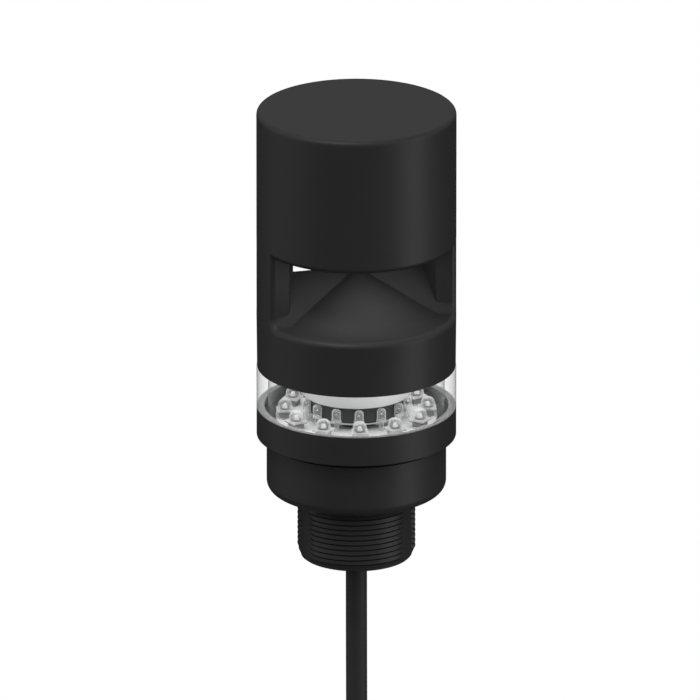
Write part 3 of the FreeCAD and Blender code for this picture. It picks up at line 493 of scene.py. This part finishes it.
@dataclass
class Column:
    """The black mouldings: base with boss, collar, head and cap."""

    body: float = 25.0
    base: float = 22.5
    base_height: float = 14.5
    base_round: float = 2.6
    base_rim_round: float = 0.25
    base_neck: float = 21.2
    base_neck_height: float = 1.2
    base_wall: float = 20.0
    base_ledge: float = 18.5
    base_ledge_height: float = 6.4
    base_floor: float = 3.0
    collar_top: float = 22.1
    cap_seat: float = 98.4
    head_top: float = 100.2
    cap_round: float = 1.2
    cap_plug: float = 22.3
    cap_plug_depth: float = 1.2
    collar_bore: float = 21.3
    collar_lip: float = 23.6
    collar_ledge_height: float = 19.5
    collar_wall: float = 20.3
    collar_deck_top: float = 17.8
    collar_deck_bottom: float = 16.3
    collar_deck_bore: float = 8.6
    collar_foot_round: float = 0.3
    collar_top_round: float = 0.2
    shadow_gap: float = 1.2
    crest: float = 14.8
    root: float = 14.05
    boss_end: float = 13.95
    boss_chamfer: float = 0.4
    boss_taper: float = 2.2
    flat_sink: float = 0.02
    flat_fade_deg: float = 44.0
    flat_start_deg: float = 62.0
    flat_end_deg: float = 79.0
    boss_length: float = 17.4
    boss_bore: float = 10.0
    throat: float = 6.0
    pitch: float = 1.33
    thread_top: float = -2.6
    thread_rise: float = 0.15
    thread_skirt: float = 0.3
    thread_foot_share: float = 0.98
    thread_crest_share: float = 0.66
    thread_crest_fall: float = 0.26
    thread_steps: int = 160
    thread_crease_deg: float = 25.0
    lead_in_sink: float = 0.05
    lead_in_height: float = 0.5
    lead_in_slope: float = 0.5
    run_out_rise: float = 0.05
    run_out_slope: float = 1.4

    def build_base(self) -> None:
        """Base housing with its threaded boss."""
        base = Piece().turn([
            (self.boss_bore, -self.boss_length),
            (self.boss_end - self.boss_chamfer, -self.boss_length),
            (self.boss_end, -self.boss_length + self.boss_chamfer),
            (self.root, -self.boss_length + self.boss_taper),
            (self.root, 0.0),
            (self.base, 0.0),
            (self.base, self.base_height - self.shadow_gap),
            (self.base_neck, self.base_height - self.shadow_gap),
            (self.base_neck, self.base_height + self.base_neck_height),
            (self.base_wall, self.base_height + self.base_neck_height),
            (self.base_wall, self.base_ledge_height),
            (self.base_ledge, self.base_ledge_height),
            (self.base_ledge, self.base_floor),
            (self.throat, self.base_floor),
            (self.throat, 0.0),
            (self.boss_bore, 0.0),
        ])
        base.round_ring(self.base, 0.0, self.base_round, 8)
        base.round_ring(self.base, self.base_height - self.shadow_gap, self.base_rim_round, ROUND_FACES)
        base.object("base_moulding", BLACK, Slot.HOUSING, ["base_housing"])

    def flat_limit(self, across: float, away: float) -> float:
        """How far the ridge may reach at a place: the root inside the two side flats.

        Args:
            across: the place along X, in any unit.
            away: the place along Y, in the same unit.

        Returns:
            The largest radius in millimetres.
        """
        turned = abs(math.degrees(math.atan2(across, -away)))
        if turned > self.flat_end_deg:
            return self.crest
        fade = (turned - self.flat_fade_deg) / (self.flat_start_deg - self.flat_fade_deg)
        share = min(1.0, max(0.0, fade))
        return self.crest + (self.root - self.flat_sink - self.crest) * share

    def build_thread(self) -> None:
        """Helical ridge on the boss, cut back by the lead-in at its end and by a flat on each side."""
        piece = Piece()
        start = -self.boss_length + self.thread_rise
        turns = (self.thread_top - start) / self.pitch
        steps = int(turns * self.thread_steps)
        half = self.pitch / 2
        foot = half * self.thread_foot_share
        flank = half * self.thread_crest_share
        section = [(self.root - self.thread_skirt, -foot), (self.root, -foot), (self.crest, -flank),
                   (self.crest - self.thread_crest_fall, flank), (self.root, foot),
                   (self.root - self.thread_skirt, foot)]
        corners = [piece.bm.verts.new((radius * MM, 0.0, (start + height) * MM))
                   for radius, height in section]
        edges = [piece.bm.edges.new(pair) for pair in zip(corners, corners[1:] + corners[:1])]
        first = piece.bm.faces.new(corners)
        spun = bmesh.ops.spin(piece.bm, geom=corners + edges, cent=(0, 0, 0), axis=(0, 0, 1),
                              dvec=(0, 0, self.pitch * MM / self.thread_steps),
                              angle=TURN * steps / self.thread_steps, steps=steps, use_merge=False)
        last = [item for item in spun["geom_last"] if isinstance(item, bmesh.types.BMVert)]
        if first.is_valid and len(last) == len(section):
            piece.bm.faces.new(last)
        bottom = -self.boss_length * MM
        for vert in piece.bm.verts:
            reach = math.hypot(vert.co.x, vert.co.y)
            climb = max(0.0, vert.co.z - bottom)
            past_end = max(0.0, climb - self.lead_in_height * MM)
            below_top = max(0.0, self.thread_top * MM - vert.co.z)
            lead_in = (self.boss_end - self.lead_in_sink) * MM + past_end * self.lead_in_slope
            run_out = (self.root + self.run_out_rise) * MM + below_top * self.run_out_slope
            limit = min(lead_in, run_out, self.flat_limit(vert.co.x, vert.co.y) * MM)
            if reach > limit:
                vert.co.x *= limit / reach
                vert.co.y *= limit / reach
            vert.co.z = max(vert.co.z, bottom)
        bmesh.ops.recalc_face_normals(piece.bm, faces=piece.bm.faces[:])
        piece.object("boss_thread", BLACK, Slot.HOUSING, crease_deg=self.thread_crease_deg)

    def build_collar(self) -> None:
        """Collar ring between the base and the lens."""
        collar = Piece().turn([
            (self.collar_bore, self.base_height),
            (self.body, self.base_height),
            (self.body, self.collar_top),
            (self.collar_lip, self.collar_top),
            (self.collar_lip, self.collar_ledge_height),
            (self.collar_wall, self.collar_ledge_height),
            (self.collar_wall, self.collar_deck_top),
            (self.collar_deck_bore, self.collar_deck_top),
            (self.collar_deck_bore, self.collar_deck_bottom),
            (self.collar_bore, self.collar_deck_bottom),
        ])
        collar.round_ring(self.body, self.base_height, self.collar_foot_round, 3)
        collar.round_ring(self.body, self.collar_top, self.collar_top_round, ROUND_FACES)
        collar.object("collar_ring", BLACK, Slot.HOUSING, ["collar"])

    def build_head(self) -> None:
        """Head moulding with its windows, and the cap bonded into its top."""
        Piece().from_node("head_housing").object("head_moulding", BLACK, Slot.HOUSING, ["head_housing"])
        cap = Piece().turn([
            (0.0, self.cap_seat - self.cap_plug_depth),
            (self.cap_plug, self.cap_seat - self.cap_plug_depth),
            (self.cap_plug, self.cap_seat),
            (self.body, self.cap_seat),
            (self.body, self.head_top),
            (0.0, self.head_top),
        ], closed=False)
        cap.round_ring(self.body, self.head_top, self.cap_round, 6)
        cap.object("head_top_cap", BLACK, Slot.HOUSING, ["head_cap"])

    def build(self) -> None:
        """All the black mouldings."""
        self.build_base()
        self.build_thread()
        self.build_collar()
        self.build_head()


@dataclass
class LightSegment:
    """The clear lens and what shows through it."""

    outer: float = 25.0
    bore: float = 22.1
    spigot: float = 23.5
    bottom: float = 22.1
    top: float = 32.8
    spigot_length: float = 2.0
    edge_round: float = 0.15
    foot_lift: float = 0.03
    foot_height: float = 0.3
    foot_inset: float = 0.4
    foot_margin: float = 0.1
    board_round: float = 0.08
    board_top: float = 19.4
    board_bottom: float = 17.8
    board_outer: float = 20.2
    board_bore: float = 5.6
    lamp_distance: float = 17.9
    lamp_count: int = 12
    lamp_phase: float = 2.7
    lamp_body: float = 1.6
    lamp_body_width: float = 2.9
    lamp_body_round: float = 0.1
    cup_plate_width: float = 4.2
    cup_plate: float = 0.14
    flange_width: float = 4.5
    flange: float = 0.4
    flange_lift: float = 0.21
    flange_round: float = 0.12
    flange_taper: float = 0.92
    pad_size: tuple[float, float, float] = (0.9, 1.5, 0.06)
    pad_spread: float = 2.5
    pad_round: float = 0.02
    # Size and place of the painted shadow strip in front of each lamp's flange.
    flange_shadow_size: tuple[float, float, float] = (4.6, 0.16, 0.02)
    flange_shadow_offset: float = 2.45
    guide_distance: float = 13.0
    guide_count: int = 14
    guide_phase: float = 3.0
    guide_plate: tuple[float, float, float] = (3.1, 0.5, 1.3)
    guide_plate_height: float = 2.35
    guide_plate_round: float = 0.12
    guide_plate_taper: float = 0.85
    ring_bottom: float = 21.0
    drum_bottom: float = 21.27
    drum_top: float = 25.7
    drum: float = 11.8
    tube: float = 5.4
    tube_bore: float = 4.5
    recess: float = 10.8
    recess_floor: float = 17.95
    recess_slope: float = 0.6
    bright_ring: float = 12.2
    rim_plate: float = 22.0
    rim_plate_height: float = 1.6
    band_round: float = 0.25
    tube_foot: float = 8.0
    band: float = 13.6

    def build_lens(self) -> None:
        """Clear tube with a spigot at each end, and a pale ring at its foot that paints the highlight along
        its bottom edge.
        """
        lens = Piece().turn([
            (self.bore, self.bottom - self.spigot_length),
            (self.spigot, self.bottom - self.spigot_length),
            (self.spigot, self.bottom),
            (self.outer, self.bottom),
            (self.outer, self.top),
            (self.spigot, self.top),
            (self.spigot, self.top + self.spigot_length),
            (self.bore, self.top + self.spigot_length),
        ])
        lens.round_ring(self.outer, self.bottom, self.edge_round, ROUND_FACES)
        lens.round_ring(self.outer, self.top, self.edge_round, ROUND_FACES)
        lens.object("clear_lens_tube", LENS_CLEAR, Slot.LENS, ["lens"])
        # Pale ring at the lens foot, a painted highlight along its bottom edge.
        Piece().turn([
            (self.spigot - self.foot_inset, self.bottom + self.foot_lift),
            (self.outer - self.foot_margin, self.bottom + self.foot_lift),
            (self.outer - self.foot_margin, self.bottom + self.foot_height),
            (self.spigot - self.foot_inset, self.bottom + self.foot_height),
        ]).object("lens_foot_highlight", LENS_FOOT_HIGHLIGHT, Slot.LENS)

    def build_board(self) -> None:
        """Ring board with its pads, and a thin dark strip in front of each lamp's flange that paints the
        shadow under it.
        """
        board = Piece().turn([
            (self.board_bore, self.board_bottom),
            (self.board_outer, self.board_bottom),
            (self.board_outer, self.board_top),
            (self.recess, self.board_top),
            (self.recess - self.recess_slope, self.recess_floor),
            (self.board_bore, self.recess_floor),
        ])
        board.round_ring(self.board_outer, self.board_top, self.board_round, ROUND_FACES)
        board.object("light_board", PALE_BOARD, Slot.BOARD, ["led_board"])
        pads = Piece()
        flange_shadows = Piece()
        for index in range(self.lamp_count):
            angle = self.lamp_phase + index * 360 / self.lamp_count
            for side in (-1, 1):
                pads.block(self.pad_size, (side * self.pad_spread, -self.lamp_distance,
                                           self.board_top + self.pad_size[2] / 2), angle, self.pad_round)
            # Dark strip just beyond the flange: painted shadow under the lamp.
            flange_shadows.block(self.flange_shadow_size, (0.0, -self.lamp_distance - self.flange_shadow_offset,
                                         self.board_top + self.flange_shadow_size[2] / 2), angle)
        pads.object("lamp_pads", PAD_METAL, Slot.BOARD, weighted=False)
        flange_shadows.object("lamp_flange_shadows", PAINTED_FLANGE_SHADOW, Slot.BOARD, weighted=False)

    def build_lamps(self) -> None:
        """Lamps with a grey body, a clear dome on a flange and a dark cup with a die inside; the die is
        drawn large and white, a painted highlight in the dome.
        """
        bodies = Piece()
        cups = Piece()
        dies_and_highlights = Piece()
        top = self.board_top + self.lamp_body
        away = self.lamp_distance
        width = self.lamp_body_width
        plate = self.cup_plate_width
        rim = self.flange_width
        for index in range(self.lamp_count):
            angle = self.lamp_phase + index * 360 / self.lamp_count
            bodies.block((width, width, self.lamp_body - self.cup_plate),
                         (0.0, -away, self.board_top + self.lamp_body / 2 - self.cup_plate / 2), angle,
                         self.lamp_body_round)
            cups.block((plate, plate, self.cup_plate), (0.0, -away, top - self.cup_plate / 2), angle)
            lamp = Piece()
            lamp.block((rim, rim, self.flange), (0.0, -away, top + self.flange_lift), angle,
                       self.flange_round, self.flange_taper)
            lamp.peg(LAMP_DOME, top, away, angle)
            lamp.object(f"lamp_{index + 1:02d}", OPTIC_CLEAR, Slot.OPTIC, [f"led_{index + 1:02d}"])
            cups.peg(LAMP_CUP_FORM, top, away, angle)
            # Large white die: painted highlight in the dome.
            dies_and_highlights.peg(LAMP_DIE_HIGHLIGHT_FORM, top, away, angle)
        bodies.object("lamp_bodies", LAMP_BODY, Slot.OPTIC)
        cups.object("lamp_cups", LAMP_CUP, Slot.OPTIC)
        dies_and_highlights.object("lamp_dies_and_highlights", DIE_AND_PAINTED_HIGHLIGHT, Slot.OPTIC)

    def build_guides(self) -> None:
        """Slim clear bullets round the core, each on a stem with a small foot plate."""
        cups = Piece()
        dies_and_highlights = Piece()
        away = self.guide_distance
        for index in range(self.guide_count):
            angle = self.guide_phase + index * 360 / self.guide_count
            guide = Piece()
            guide.peg(BULLET_STEM, self.board_top, away, angle)
            guide.peg(BULLET, self.board_top, away, angle)
            guide.block(self.guide_plate, (0.0, -away, self.board_top + self.guide_plate_height),
                        angle, self.guide_plate_round, self.guide_plate_taper)
            guide.object(f"bullet_{index + 1:02d}", OPTIC_CLEAR, Slot.OPTIC,
                         [f"light_guide_{index + 1:02d}"])
            cups.peg(BULLET_CUP, self.board_top, away, angle)
            dies_and_highlights.peg(BULLET_DIE, self.board_top, away, angle)
        cups.object("bullet_cups", LAMP_CUP, Slot.OPTIC)
        dies_and_highlights.object("bullet_dies", DIE_AND_PAINTED_HIGHLIGHT, Slot.OPTIC)

    def build_core(self) -> None:
        """Dark core, its bright ring and the grey band above."""
        Piece().turn([
            (self.tube_bore, self.tube_foot),
            (self.tube, self.tube_foot),
            (self.tube, self.drum_bottom),
            (self.drum, self.drum_bottom),
            (self.drum, self.drum_top),
            (self.tube_bore, self.drum_top),
        ]).object("core_drum", CORE_DARK, Slot.CORE, ["core_tube"])
        Piece().turn([
            (self.tube, self.ring_bottom),
            (self.bright_ring, self.ring_bottom),
            (self.bright_ring, self.drum_bottom),
            (self.tube, self.drum_bottom),
        ]).object("core_bright_ring", REFLECTOR_GREY, Slot.REFLECTOR, ["core_ring"])
        band = Piece().turn([
            (self.tube_bore, self.drum_top),
            (self.band, self.drum_top),
            (self.band, self.top),
            (self.rim_plate, self.top),
            (self.rim_plate, self.top + self.rim_plate_height),
            (self.tube_bore, self.top + self.rim_plate_height),
        ])
        band.round_ring(self.band, self.drum_top, self.band_round, 3)
        band.object("reflector_band", REFLECTOR_GREY, Slot.REFLECTOR, ["reflector"])

    def build(self) -> None:
        """Everything in the light segment."""
        self.build_lens()
        self.build_board()
        self.build_lamps()
        self.build_guides()
        self.build_core()


@dataclass
class CableRun:
    """The cable from the grommet down to its tied coil, and the bare conductors at its end."""

    diameter: float = 5.35
    exit_height: float = -5.0
    bend_height: float = -40.0
    corner_height: float = -76.0
    waver: float = 0.15
    mean_radius: float = 32.0
    spacing: float = 5.7
    entry_deg: float = 40.0
    tail: float = 45.0
    points_per_turn: int = 16
    change_end_deg: float = 352.0
    change_span_deg: float = 36.0
    wire_length: float = 28.0
    wire_spread: float = 1.3
    wire_radius: float = 0.55
    tip_radius: float = 0.3
    tip_top: float = 6.4
    insulation_foot: float = 6.0
    tie_slack: float = 0.1
    tie_width: float = 3.4
    tie_thickness: float = 1.1
    tie_head: tuple[float, float, float] = (4.6, 4.4, 3.2)
    tie_head_round: float = 0.4
    tie_tail: tuple[float, float, float] = (3.0, 0.9, 7.0)
    tie_tail_round: float = 0.2
    tie_head_side: float = 1.2
    tie_head_lift: float = 1.4
    tie_tail_side: float = 2.2
    tie_tail_lift: float = 4.2
    tie_end_facing: float = 0.9

    def slots(self) -> list[tuple[float, float]]:
        """Places across the bundle in winding order, as (radius, side)."""
        row = self.spacing * math.sqrt(3) / 2
        outer = self.mean_radius + row
        inner = self.mean_radius - row
        pitch = self.spacing
        return [(outer, 0.0), (outer, pitch), (self.mean_radius, 1.5 * pitch), (inner, pitch),
                (self.mean_radius, 0.5 * pitch), (inner, 0.0), (self.mean_radius, -0.5 * pitch),
                (inner, -pitch), (self.mean_radius, -1.5 * pitch), (outer, -pitch)]

    def centre_height(self) -> float:
        """Height of the coil's middle."""
        outer = self.slots()[0][0]
        entry = math.radians(self.entry_deg)
        reach = outer / math.tan(entry)
        return self.corner_height - outer * math.sin(entry) - reach * math.cos(entry)

    def coil_points(self) -> list[Vector]:
        """Control points of the wound turns, from the entry to the tail."""
        slots = self.slots()
        step_deg = 360 / self.points_per_turn
        moves = len(slots) - 1
        middle = self.centre_height()
        total = moves * self.points_per_turn + int(self.entry_deg / step_deg) + 1
        points = []
        for index in range(total):
            turned = min(index * step_deg, moves * 360 + self.entry_deg)
            turn = min(int(turned // 360), moves)
            along = turned - turn * 360
            span = self.change_span_deg
            change = self.change_end_deg - span * (turn + 0.5) + span / 2
            share = 0.0
            if turn < moves:
                share = min(1.0, max(0.0, (along - change + span / 2) / span))
            here = slots[turn]
            there = slots[min(turn + 1, moves)]
            radius = here[0] + (there[0] - here[0]) * share
            side = here[1] + (there[1] - here[1]) * share
            polar = math.radians(self.entry_deg - turned)
            points.append(Vector((self.waver + radius * math.cos(polar), side,
                                  middle + radius * math.sin(polar))))
        return points

    def build_cable(self) -> bpy.types.Object:
        """The cable as one smooth spline with a round section."""
        middle = self.centre_height()
        outer = self.slots()[0][0]
        last = Vector((self.waver + outer, self.slots()[-1][1], middle - self.tail))
        points = [Vector((0.0, 0.0, self.exit_height)), Vector((0.0, 0.0, self.bend_height)),
                  Vector((self.waver, 0.0, self.corner_height))]
        points += self.coil_points()
        points += [last + Vector((0.0, 0.0, self.tail / 2)), last]
        curve = bpy.data.curves.new("signal_cable", "CURVE")
        curve.dimensions = "3D"
        curve.bevel_depth = self.diameter / 2 * MM
        curve.bevel_resolution = 6
        curve.resolution_u = 8
        curve.use_fill_caps = True
        spline = curve.splines.new("NURBS")
        spline.points.add(len(points) - 1)
        for knot, place in zip(spline.points, points):
            knot.co = (*(place * MM), 1.0)
        spline.order_u = 3
        spline.use_endpoint_u = True
        curve.materials.append(FINISHES.get(JACKET))
        cable = bpy.data.objects.new("signal_cable", curve)
        bpy.context.scene.collection.objects.link(cable)
        return ride(cable, ["cable", "cable_coil"])

    def build_tie(self) -> bpy.types.Object:
        """Nylon tie pulled tight round the turns at the top of the coil, with its head and tail."""
        tie = Piece()
        middle = self.centre_height()
        reach = (self.diameter / 2 + self.tie_slack) * MM
        lie_down = Matrix.Rotation(math.pi / 2, 4, "Y")
        for radius, side in self.slots()[:-1]:
            for across in (-self.tie_width / 2, self.tie_width / 2):
                place = Vector((self.waver + across, side, middle + radius)) * MM
                bmesh.ops.create_circle(tie.bm, cap_ends=False, segments=24, radius=reach,
                                        matrix=Matrix.Translation(place) @ lie_down)
        made = bmesh.ops.convex_hull(tie.bm, input=tie.bm.verts[:], use_existing_faces=False)
        spare = set(made["geom_interior"]) | set(made["geom_unused"])
        bmesh.ops.delete(tie.bm, geom=[vert for vert in tie.bm.verts if vert in spare], context="VERTS")
        ends = [face for face in tie.bm.faces if abs(face.normal.x) > self.tie_end_facing]
        bmesh.ops.delete(tie.bm, geom=ends, context="FACES_ONLY")
        loose = [edge for edge in tie.bm.edges if not edge.link_faces]
        bmesh.ops.delete(tie.bm, geom=loose, context="EDGES")
        bmesh.ops.recalc_face_normals(tie.bm, faces=tie.bm.faces[:])
        bmesh.ops.solidify(tie.bm, geom=tie.bm.faces[:], thickness=-self.tie_thickness * MM)
        bmesh.ops.recalc_face_normals(tie.bm, faces=tie.bm.faces[:])
        top = middle + self.slots()[0][0] + self.diameter / 2 + self.tie_slack
        tie.block(self.tie_head, (self.waver, self.tie_head_side, top + self.tie_head_lift),
                  bevel=self.tie_head_round)
        tie.block(self.tie_tail, (self.waver, self.tie_tail_side, top + self.tie_tail_lift),
                  bevel=self.tie_tail_round)
        return tie.object("cable_tie_strap", NYLON, Slot.TIE, ["cable_tie"], weighted=False)

    def build_leads(self) -> list[bpy.types.Object]:
        """Insulated conductors with bare tips, splayed a little."""
        outer = self.slots()[0][0]
        top = self.centre_height() - self.tail
        side = self.slots()[-1][1]
        made = []
        wires = {"brown": BROWN_WIRE, "red": RED_WIRE, "white": WHITE_WIRE, "black": BLACK_WIRE}
        for index, (word, finish) in enumerate(wires.items()):
            angle = math.radians(45 + 90 * index)
            across = self.waver + outer + self.wire_spread * math.sin(angle)
            along = side - self.wire_spread * math.cos(angle)
            insulation = Piece()
            tip = Piece()
            for piece, lower, upper, radius in (
                    (insulation, self.insulation_foot, self.wire_length, self.wire_radius),
                    (tip, 0.0, self.tip_top, self.tip_radius)):
                ends = bmesh.ops.create_cone(piece.bm, cap_ends=True, segments=18, radius1=radius * MM,
                                             radius2=radius * MM, depth=(upper - lower) * MM)["verts"]
                height = top - self.wire_length + (upper + lower) / 2
                bmesh.ops.translate(piece.bm, vec=Vector((across, along, height)) * MM, verts=ends)
            made.append(insulation.object(f"conductor_{word}", finish, Slot.WIRE,
                                          ["bare_leads"] if index == 0 else []))
            made.append(tip.object(f"conductor_tip_{word}", COPPER, Slot.WIRE))
        return made

    def build(self) -> None:
        """The cable, its conductors and its tie."""
        cable = self.build_cable()
        leads = self.build_leads()
        tie = self.build_tie()


CARRIED = {
    Slot.GREEN_BOARD: GREEN_BOARD,
    Slot.SEAL: RUBBER,
    Slot.STEEL: ZINC,
    Slot.FERRITE: FERRITE,
    Slot.COIL: COPPER,
    Slot.CONE: FILM,
    Slot.COMPONENT: COMPONENT,
    Slot.WIRE: RED_WIRE,
}


def dress_carried_nodes() -> None:
    """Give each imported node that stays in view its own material."""
    slots = {entry["node"]: entry["material_slot"] for entry in frame["record"]["subparts"]}
    for name, node in frame["nodes"].items():
        if node.hide_render:
            continue
        finish = CARRIED[Slot(slots[name])]
        node.data.materials.clear()
        node.data.materials.append(FINISHES.get(finish))
        log.info("%s dressed with %s", name, finish.name)


@dataclass(frozen=True)
class SoftBox:
    """An area lamp that faces the column; metres, watts and degrees, azimuth from the front to +X."""

    name: str
    power: float
    width: float
    height: float
    azimuth_deg: float
    elevation_deg: float
    distance: float = 0.9
    aim_height: float = 0.05


SOFT_BOXES = (
    SoftBox("right_soft_box", power=2.5, width=0.34, height=0.9, azimuth_deg=68.0, elevation_deg=-6.0),
    SoftBox("left_soft_box", power=1.3, width=1.2, height=0.9, azimuth_deg=-84.0, elevation_deg=0.0),
    SoftBox("top_soft_box", power=2.2, width=0.22, height=0.22, azimuth_deg=-35.0, elevation_deg=60.0),
)


@dataclass
class Studio:
    """Camera, lamps, pale surroundings and floor."""

    elevation_deg: float = 19.47
    focal: float = 1500.0
    sensor: float = 36.0
    clip_near: float = 0.1
    clip_far_share: float = 3.0
    view_width: float = 175.18
    aim_across: float = -1.6
    aim_height: float = 36.63
    floor_height: float = -216.0
    floor_radius: float = 420.0
    level_below: float = 0.04
    level_above: float = 1.0
    gloss_share: float = 0.3
    sky_from: float = -0.32
    sky_to: float = 0.48
    floor_fade: float = 0.24
    floor_rim_share: float = 0.98
    floor_seen: Colour = (0.84, 0.84, 0.84)
    floor_unseen: Colour = (0.12, 0.12, 0.12)
    head_turn: float = 15.0
    window_lamp_power: float = 0.0055
    window_lamp_width: float = 0.034
    window_lamp_depth: float = 0.008
    window_lamp_out: float = 0.0165
    window_lamp_height: float = 0.0648
    segment_lamp_power: float = 0.009
    segment_lamp_width: float = 0.0435
    segment_lamp_height: float = 0.0326

    def build_camera(self) -> None:
        """Long lens from a distance, for the photograph's parallel view."""
        data = bpy.data.cameras.new("camera")
        data.lens = self.focal
        data.sensor_width = self.sensor
        distance = self.view_width * MM * self.focal / self.sensor
        data.clip_start = self.clip_near
        data.clip_end = distance * self.clip_far_share
        camera = bpy.data.objects.new("camera", data)
        tilt = math.radians(self.elevation_deg)
        aim = Vector((self.aim_across, 0.0, self.aim_height)) * MM
        camera.location = aim + Vector((0.0, -math.cos(tilt), math.sin(tilt))) * distance
        camera.rotation_euler = (math.pi / 2 - tilt, 0.0, 0.0)
        bpy.context.scene.collection.objects.link(camera)
        bpy.context.scene.camera = camera

    def build_world(self) -> None:
        """White to the camera and through glass; pale above and dim below as light."""
        world = bpy.data.worlds.new("surroundings")
        world.use_nodes = True
        bpy.context.scene.world = world
        graph = Graph(world.node_tree)
        camera = graph.node("ShaderNodeLightPath", output="Is Camera Ray")
        through = graph.node("ShaderNodeLightPath", output="Is Transmission Ray")
        glossy = graph.node("ShaderNodeLightPath", output="Is Glossy Ray")
        seen = graph.node("ShaderNodeMath", {"operation": "MAXIMUM"}, {0: camera, 1: through})
        ray = graph.node("ShaderNodeTexCoord", output="Generated")
        height = graph.node("ShaderNodeSeparateXYZ", None, {0: ray}, output="Z")
        sky = graph.node("ShaderNodeMapRange", {"interpolation_type": "SMOOTHSTEP"}, {
            "Value": height, "From Min": self.sky_from, "From Max": self.sky_to,
            "To Min": self.level_below, "To Max": self.level_above})
        indirect = sky * (glossy * (self.gloss_share - 1.0) + 1.0)
        level = seen * (1.0 - indirect) + indirect
        backdrop = graph.node("ShaderNodeBackground", None,
                              {"Color": (1.0, 1.0, 1.0, 1.0), "Strength": level})
        graph.node("ShaderNodeOutputWorld", None, {"Surface": backdrop})

    @staticmethod
    def add_lamp(name: str, shape: str, power: float, width: float, height: float) -> bpy.types.Object:
        """Add an area lamp at the origin.

        Args:
            name: the lamp's name.
            shape: Blender's word for the lamp's shape.
            power: watts.
            width: its width in metres.
            height: its height in metres, where the shape has one.

        Returns:
            The lamp.
        """
        data = bpy.data.lights.new(name, "AREA")
        data.energy = power
        data.shape = shape
        data.size = width
        data.size_y = height
        lamp = bpy.data.objects.new(name, data)
        bpy.context.scene.collection.objects.link(lamp)
        return lamp

    def add_soft_box(self, box: SoftBox) -> None:
        """Stand a soft box at its place and face it to the column."""
        lamp = self.add_lamp(box.name, "RECTANGLE", box.power, box.width, box.height)
        turn = math.radians(box.azimuth_deg)
        tilt = math.radians(box.elevation_deg)
        out = Vector((math.sin(turn) * math.cos(tilt), -math.cos(turn) * math.cos(tilt), math.sin(tilt)))
        lamp.location = Vector((0.0, 0.0, box.aim_height)) + out * box.distance
        lamp.rotation_mode = "QUATERNION"
        lamp.rotation_quaternion = out.to_track_quat("Z", "Y")

    def add_window_lamp(self, name: str, turn_deg: float) -> None:
        """Small lamp under the top edge of a sound window, which lights its sill and cone."""
        lamp = self.add_lamp(name, "RECTANGLE", self.window_lamp_power, self.window_lamp_width,
                             self.window_lamp_depth)
        turn = math.radians(turn_deg)
        out = Vector((math.sin(turn), -math.cos(turn), 0.0))
        lamp.location = out * self.window_lamp_out + Vector((0.0, 0.0, self.window_lamp_height))
        lamp.rotation_euler = (0.0, 0.0, turn)
        lamp.visible_camera = False
        lamp.visible_glossy = False

    def add_segment_lamp(self) -> None:
        """Round lamp under the head, which lights the board and the optics through the clear segment."""
        lamp = self.add_lamp("segment_lamp", "DISK", self.segment_lamp_power, self.segment_lamp_width,
                             self.segment_lamp_width)
        lamp.location = (0.0, 0.0, self.segment_lamp_height)
        lamp.visible_camera = False

    def build_lamps(self) -> None:
        """Tall soft box on the right, a broad one on the left, a small one above, lamps in the openings."""
        self.add_segment_lamp()
        for box in SOFT_BOXES:
            self.add_soft_box(box)
        self.add_window_lamp("front_window_lamp", self.head_turn)
        self.add_window_lamp("back_window_lamp", self.head_turn + 180.0)

    def build_floor(self) -> None:
        """Round pale floor under the coil, which fades out at its rim and isn't there from below."""
        piece = bmesh.new()
        bmesh.ops.create_circle(piece, cap_ends=True, segments=96, radius=self.floor_radius * MM)
        bmesh.ops.translate(piece, vec=(0.0, 0.0, self.floor_height * MM), verts=piece.verts[:])
        mesh = bpy.data.meshes.new("floor")
        piece.to_mesh(mesh)
        piece.free()
        material, graph = new_material("pale floor")
        where = graph.node("ShaderNodeTexCoord", output="Object")
        reach = graph.node("ShaderNodeVectorMath", {"operation": "LENGTH"}, {0: where}, output="Value")
        share = graph.node("ShaderNodeMapRange", {"interpolation_type": "SMOOTHSTEP"}, {
            "Value": reach, "From Min": self.floor_fade,
            "From Max": self.floor_radius * MM * self.floor_rim_share,
            "To Min": 0.0, "To Max": 1.0})
        camera = graph.node("ShaderNodeLightPath", output="Is Camera Ray")
        colour = graph.blend(camera, self.floor_unseen, self.floor_seen)
        pale = graph.node("ShaderNodeBsdfDiffuse", None, {"Color": colour})
        clear = graph.node("ShaderNodeBsdfTransparent")
        under = graph.node("ShaderNodeNewGeometry", output="Backfacing")
        gone = graph.node("ShaderNodeMath", {"operation": "MAXIMUM"}, {0: share, 1: under})
        surface = graph.node("ShaderNodeMixShader", None, {0: gone, 1: pale, 2: clear})
        graph.node("ShaderNodeOutputMaterial", None, {"Surface": surface})
        mesh.materials.append(material)
        floor = bpy.data.objects.new("floor", mesh)
        bpy.context.scene.collection.objects.link(floor)

    def build(self) -> None:
        """The whole studio."""
        self.build_world()
        self.build_lamps()
        self.build_floor()


def main() -> None:
    """Build the whole scene in order."""
    logging.basicConfig(level=logging.INFO, format="%(message)s")
    bpy.context.scene.view_settings.view_transform = "Standard"
    studio = Studio()
    studio.build_camera()
    CableRun().build()
    Column().build()
    LightSegment().build()
    dress_carried_nodes()
    studio.build()


if __name__ == "__main__":
    main()
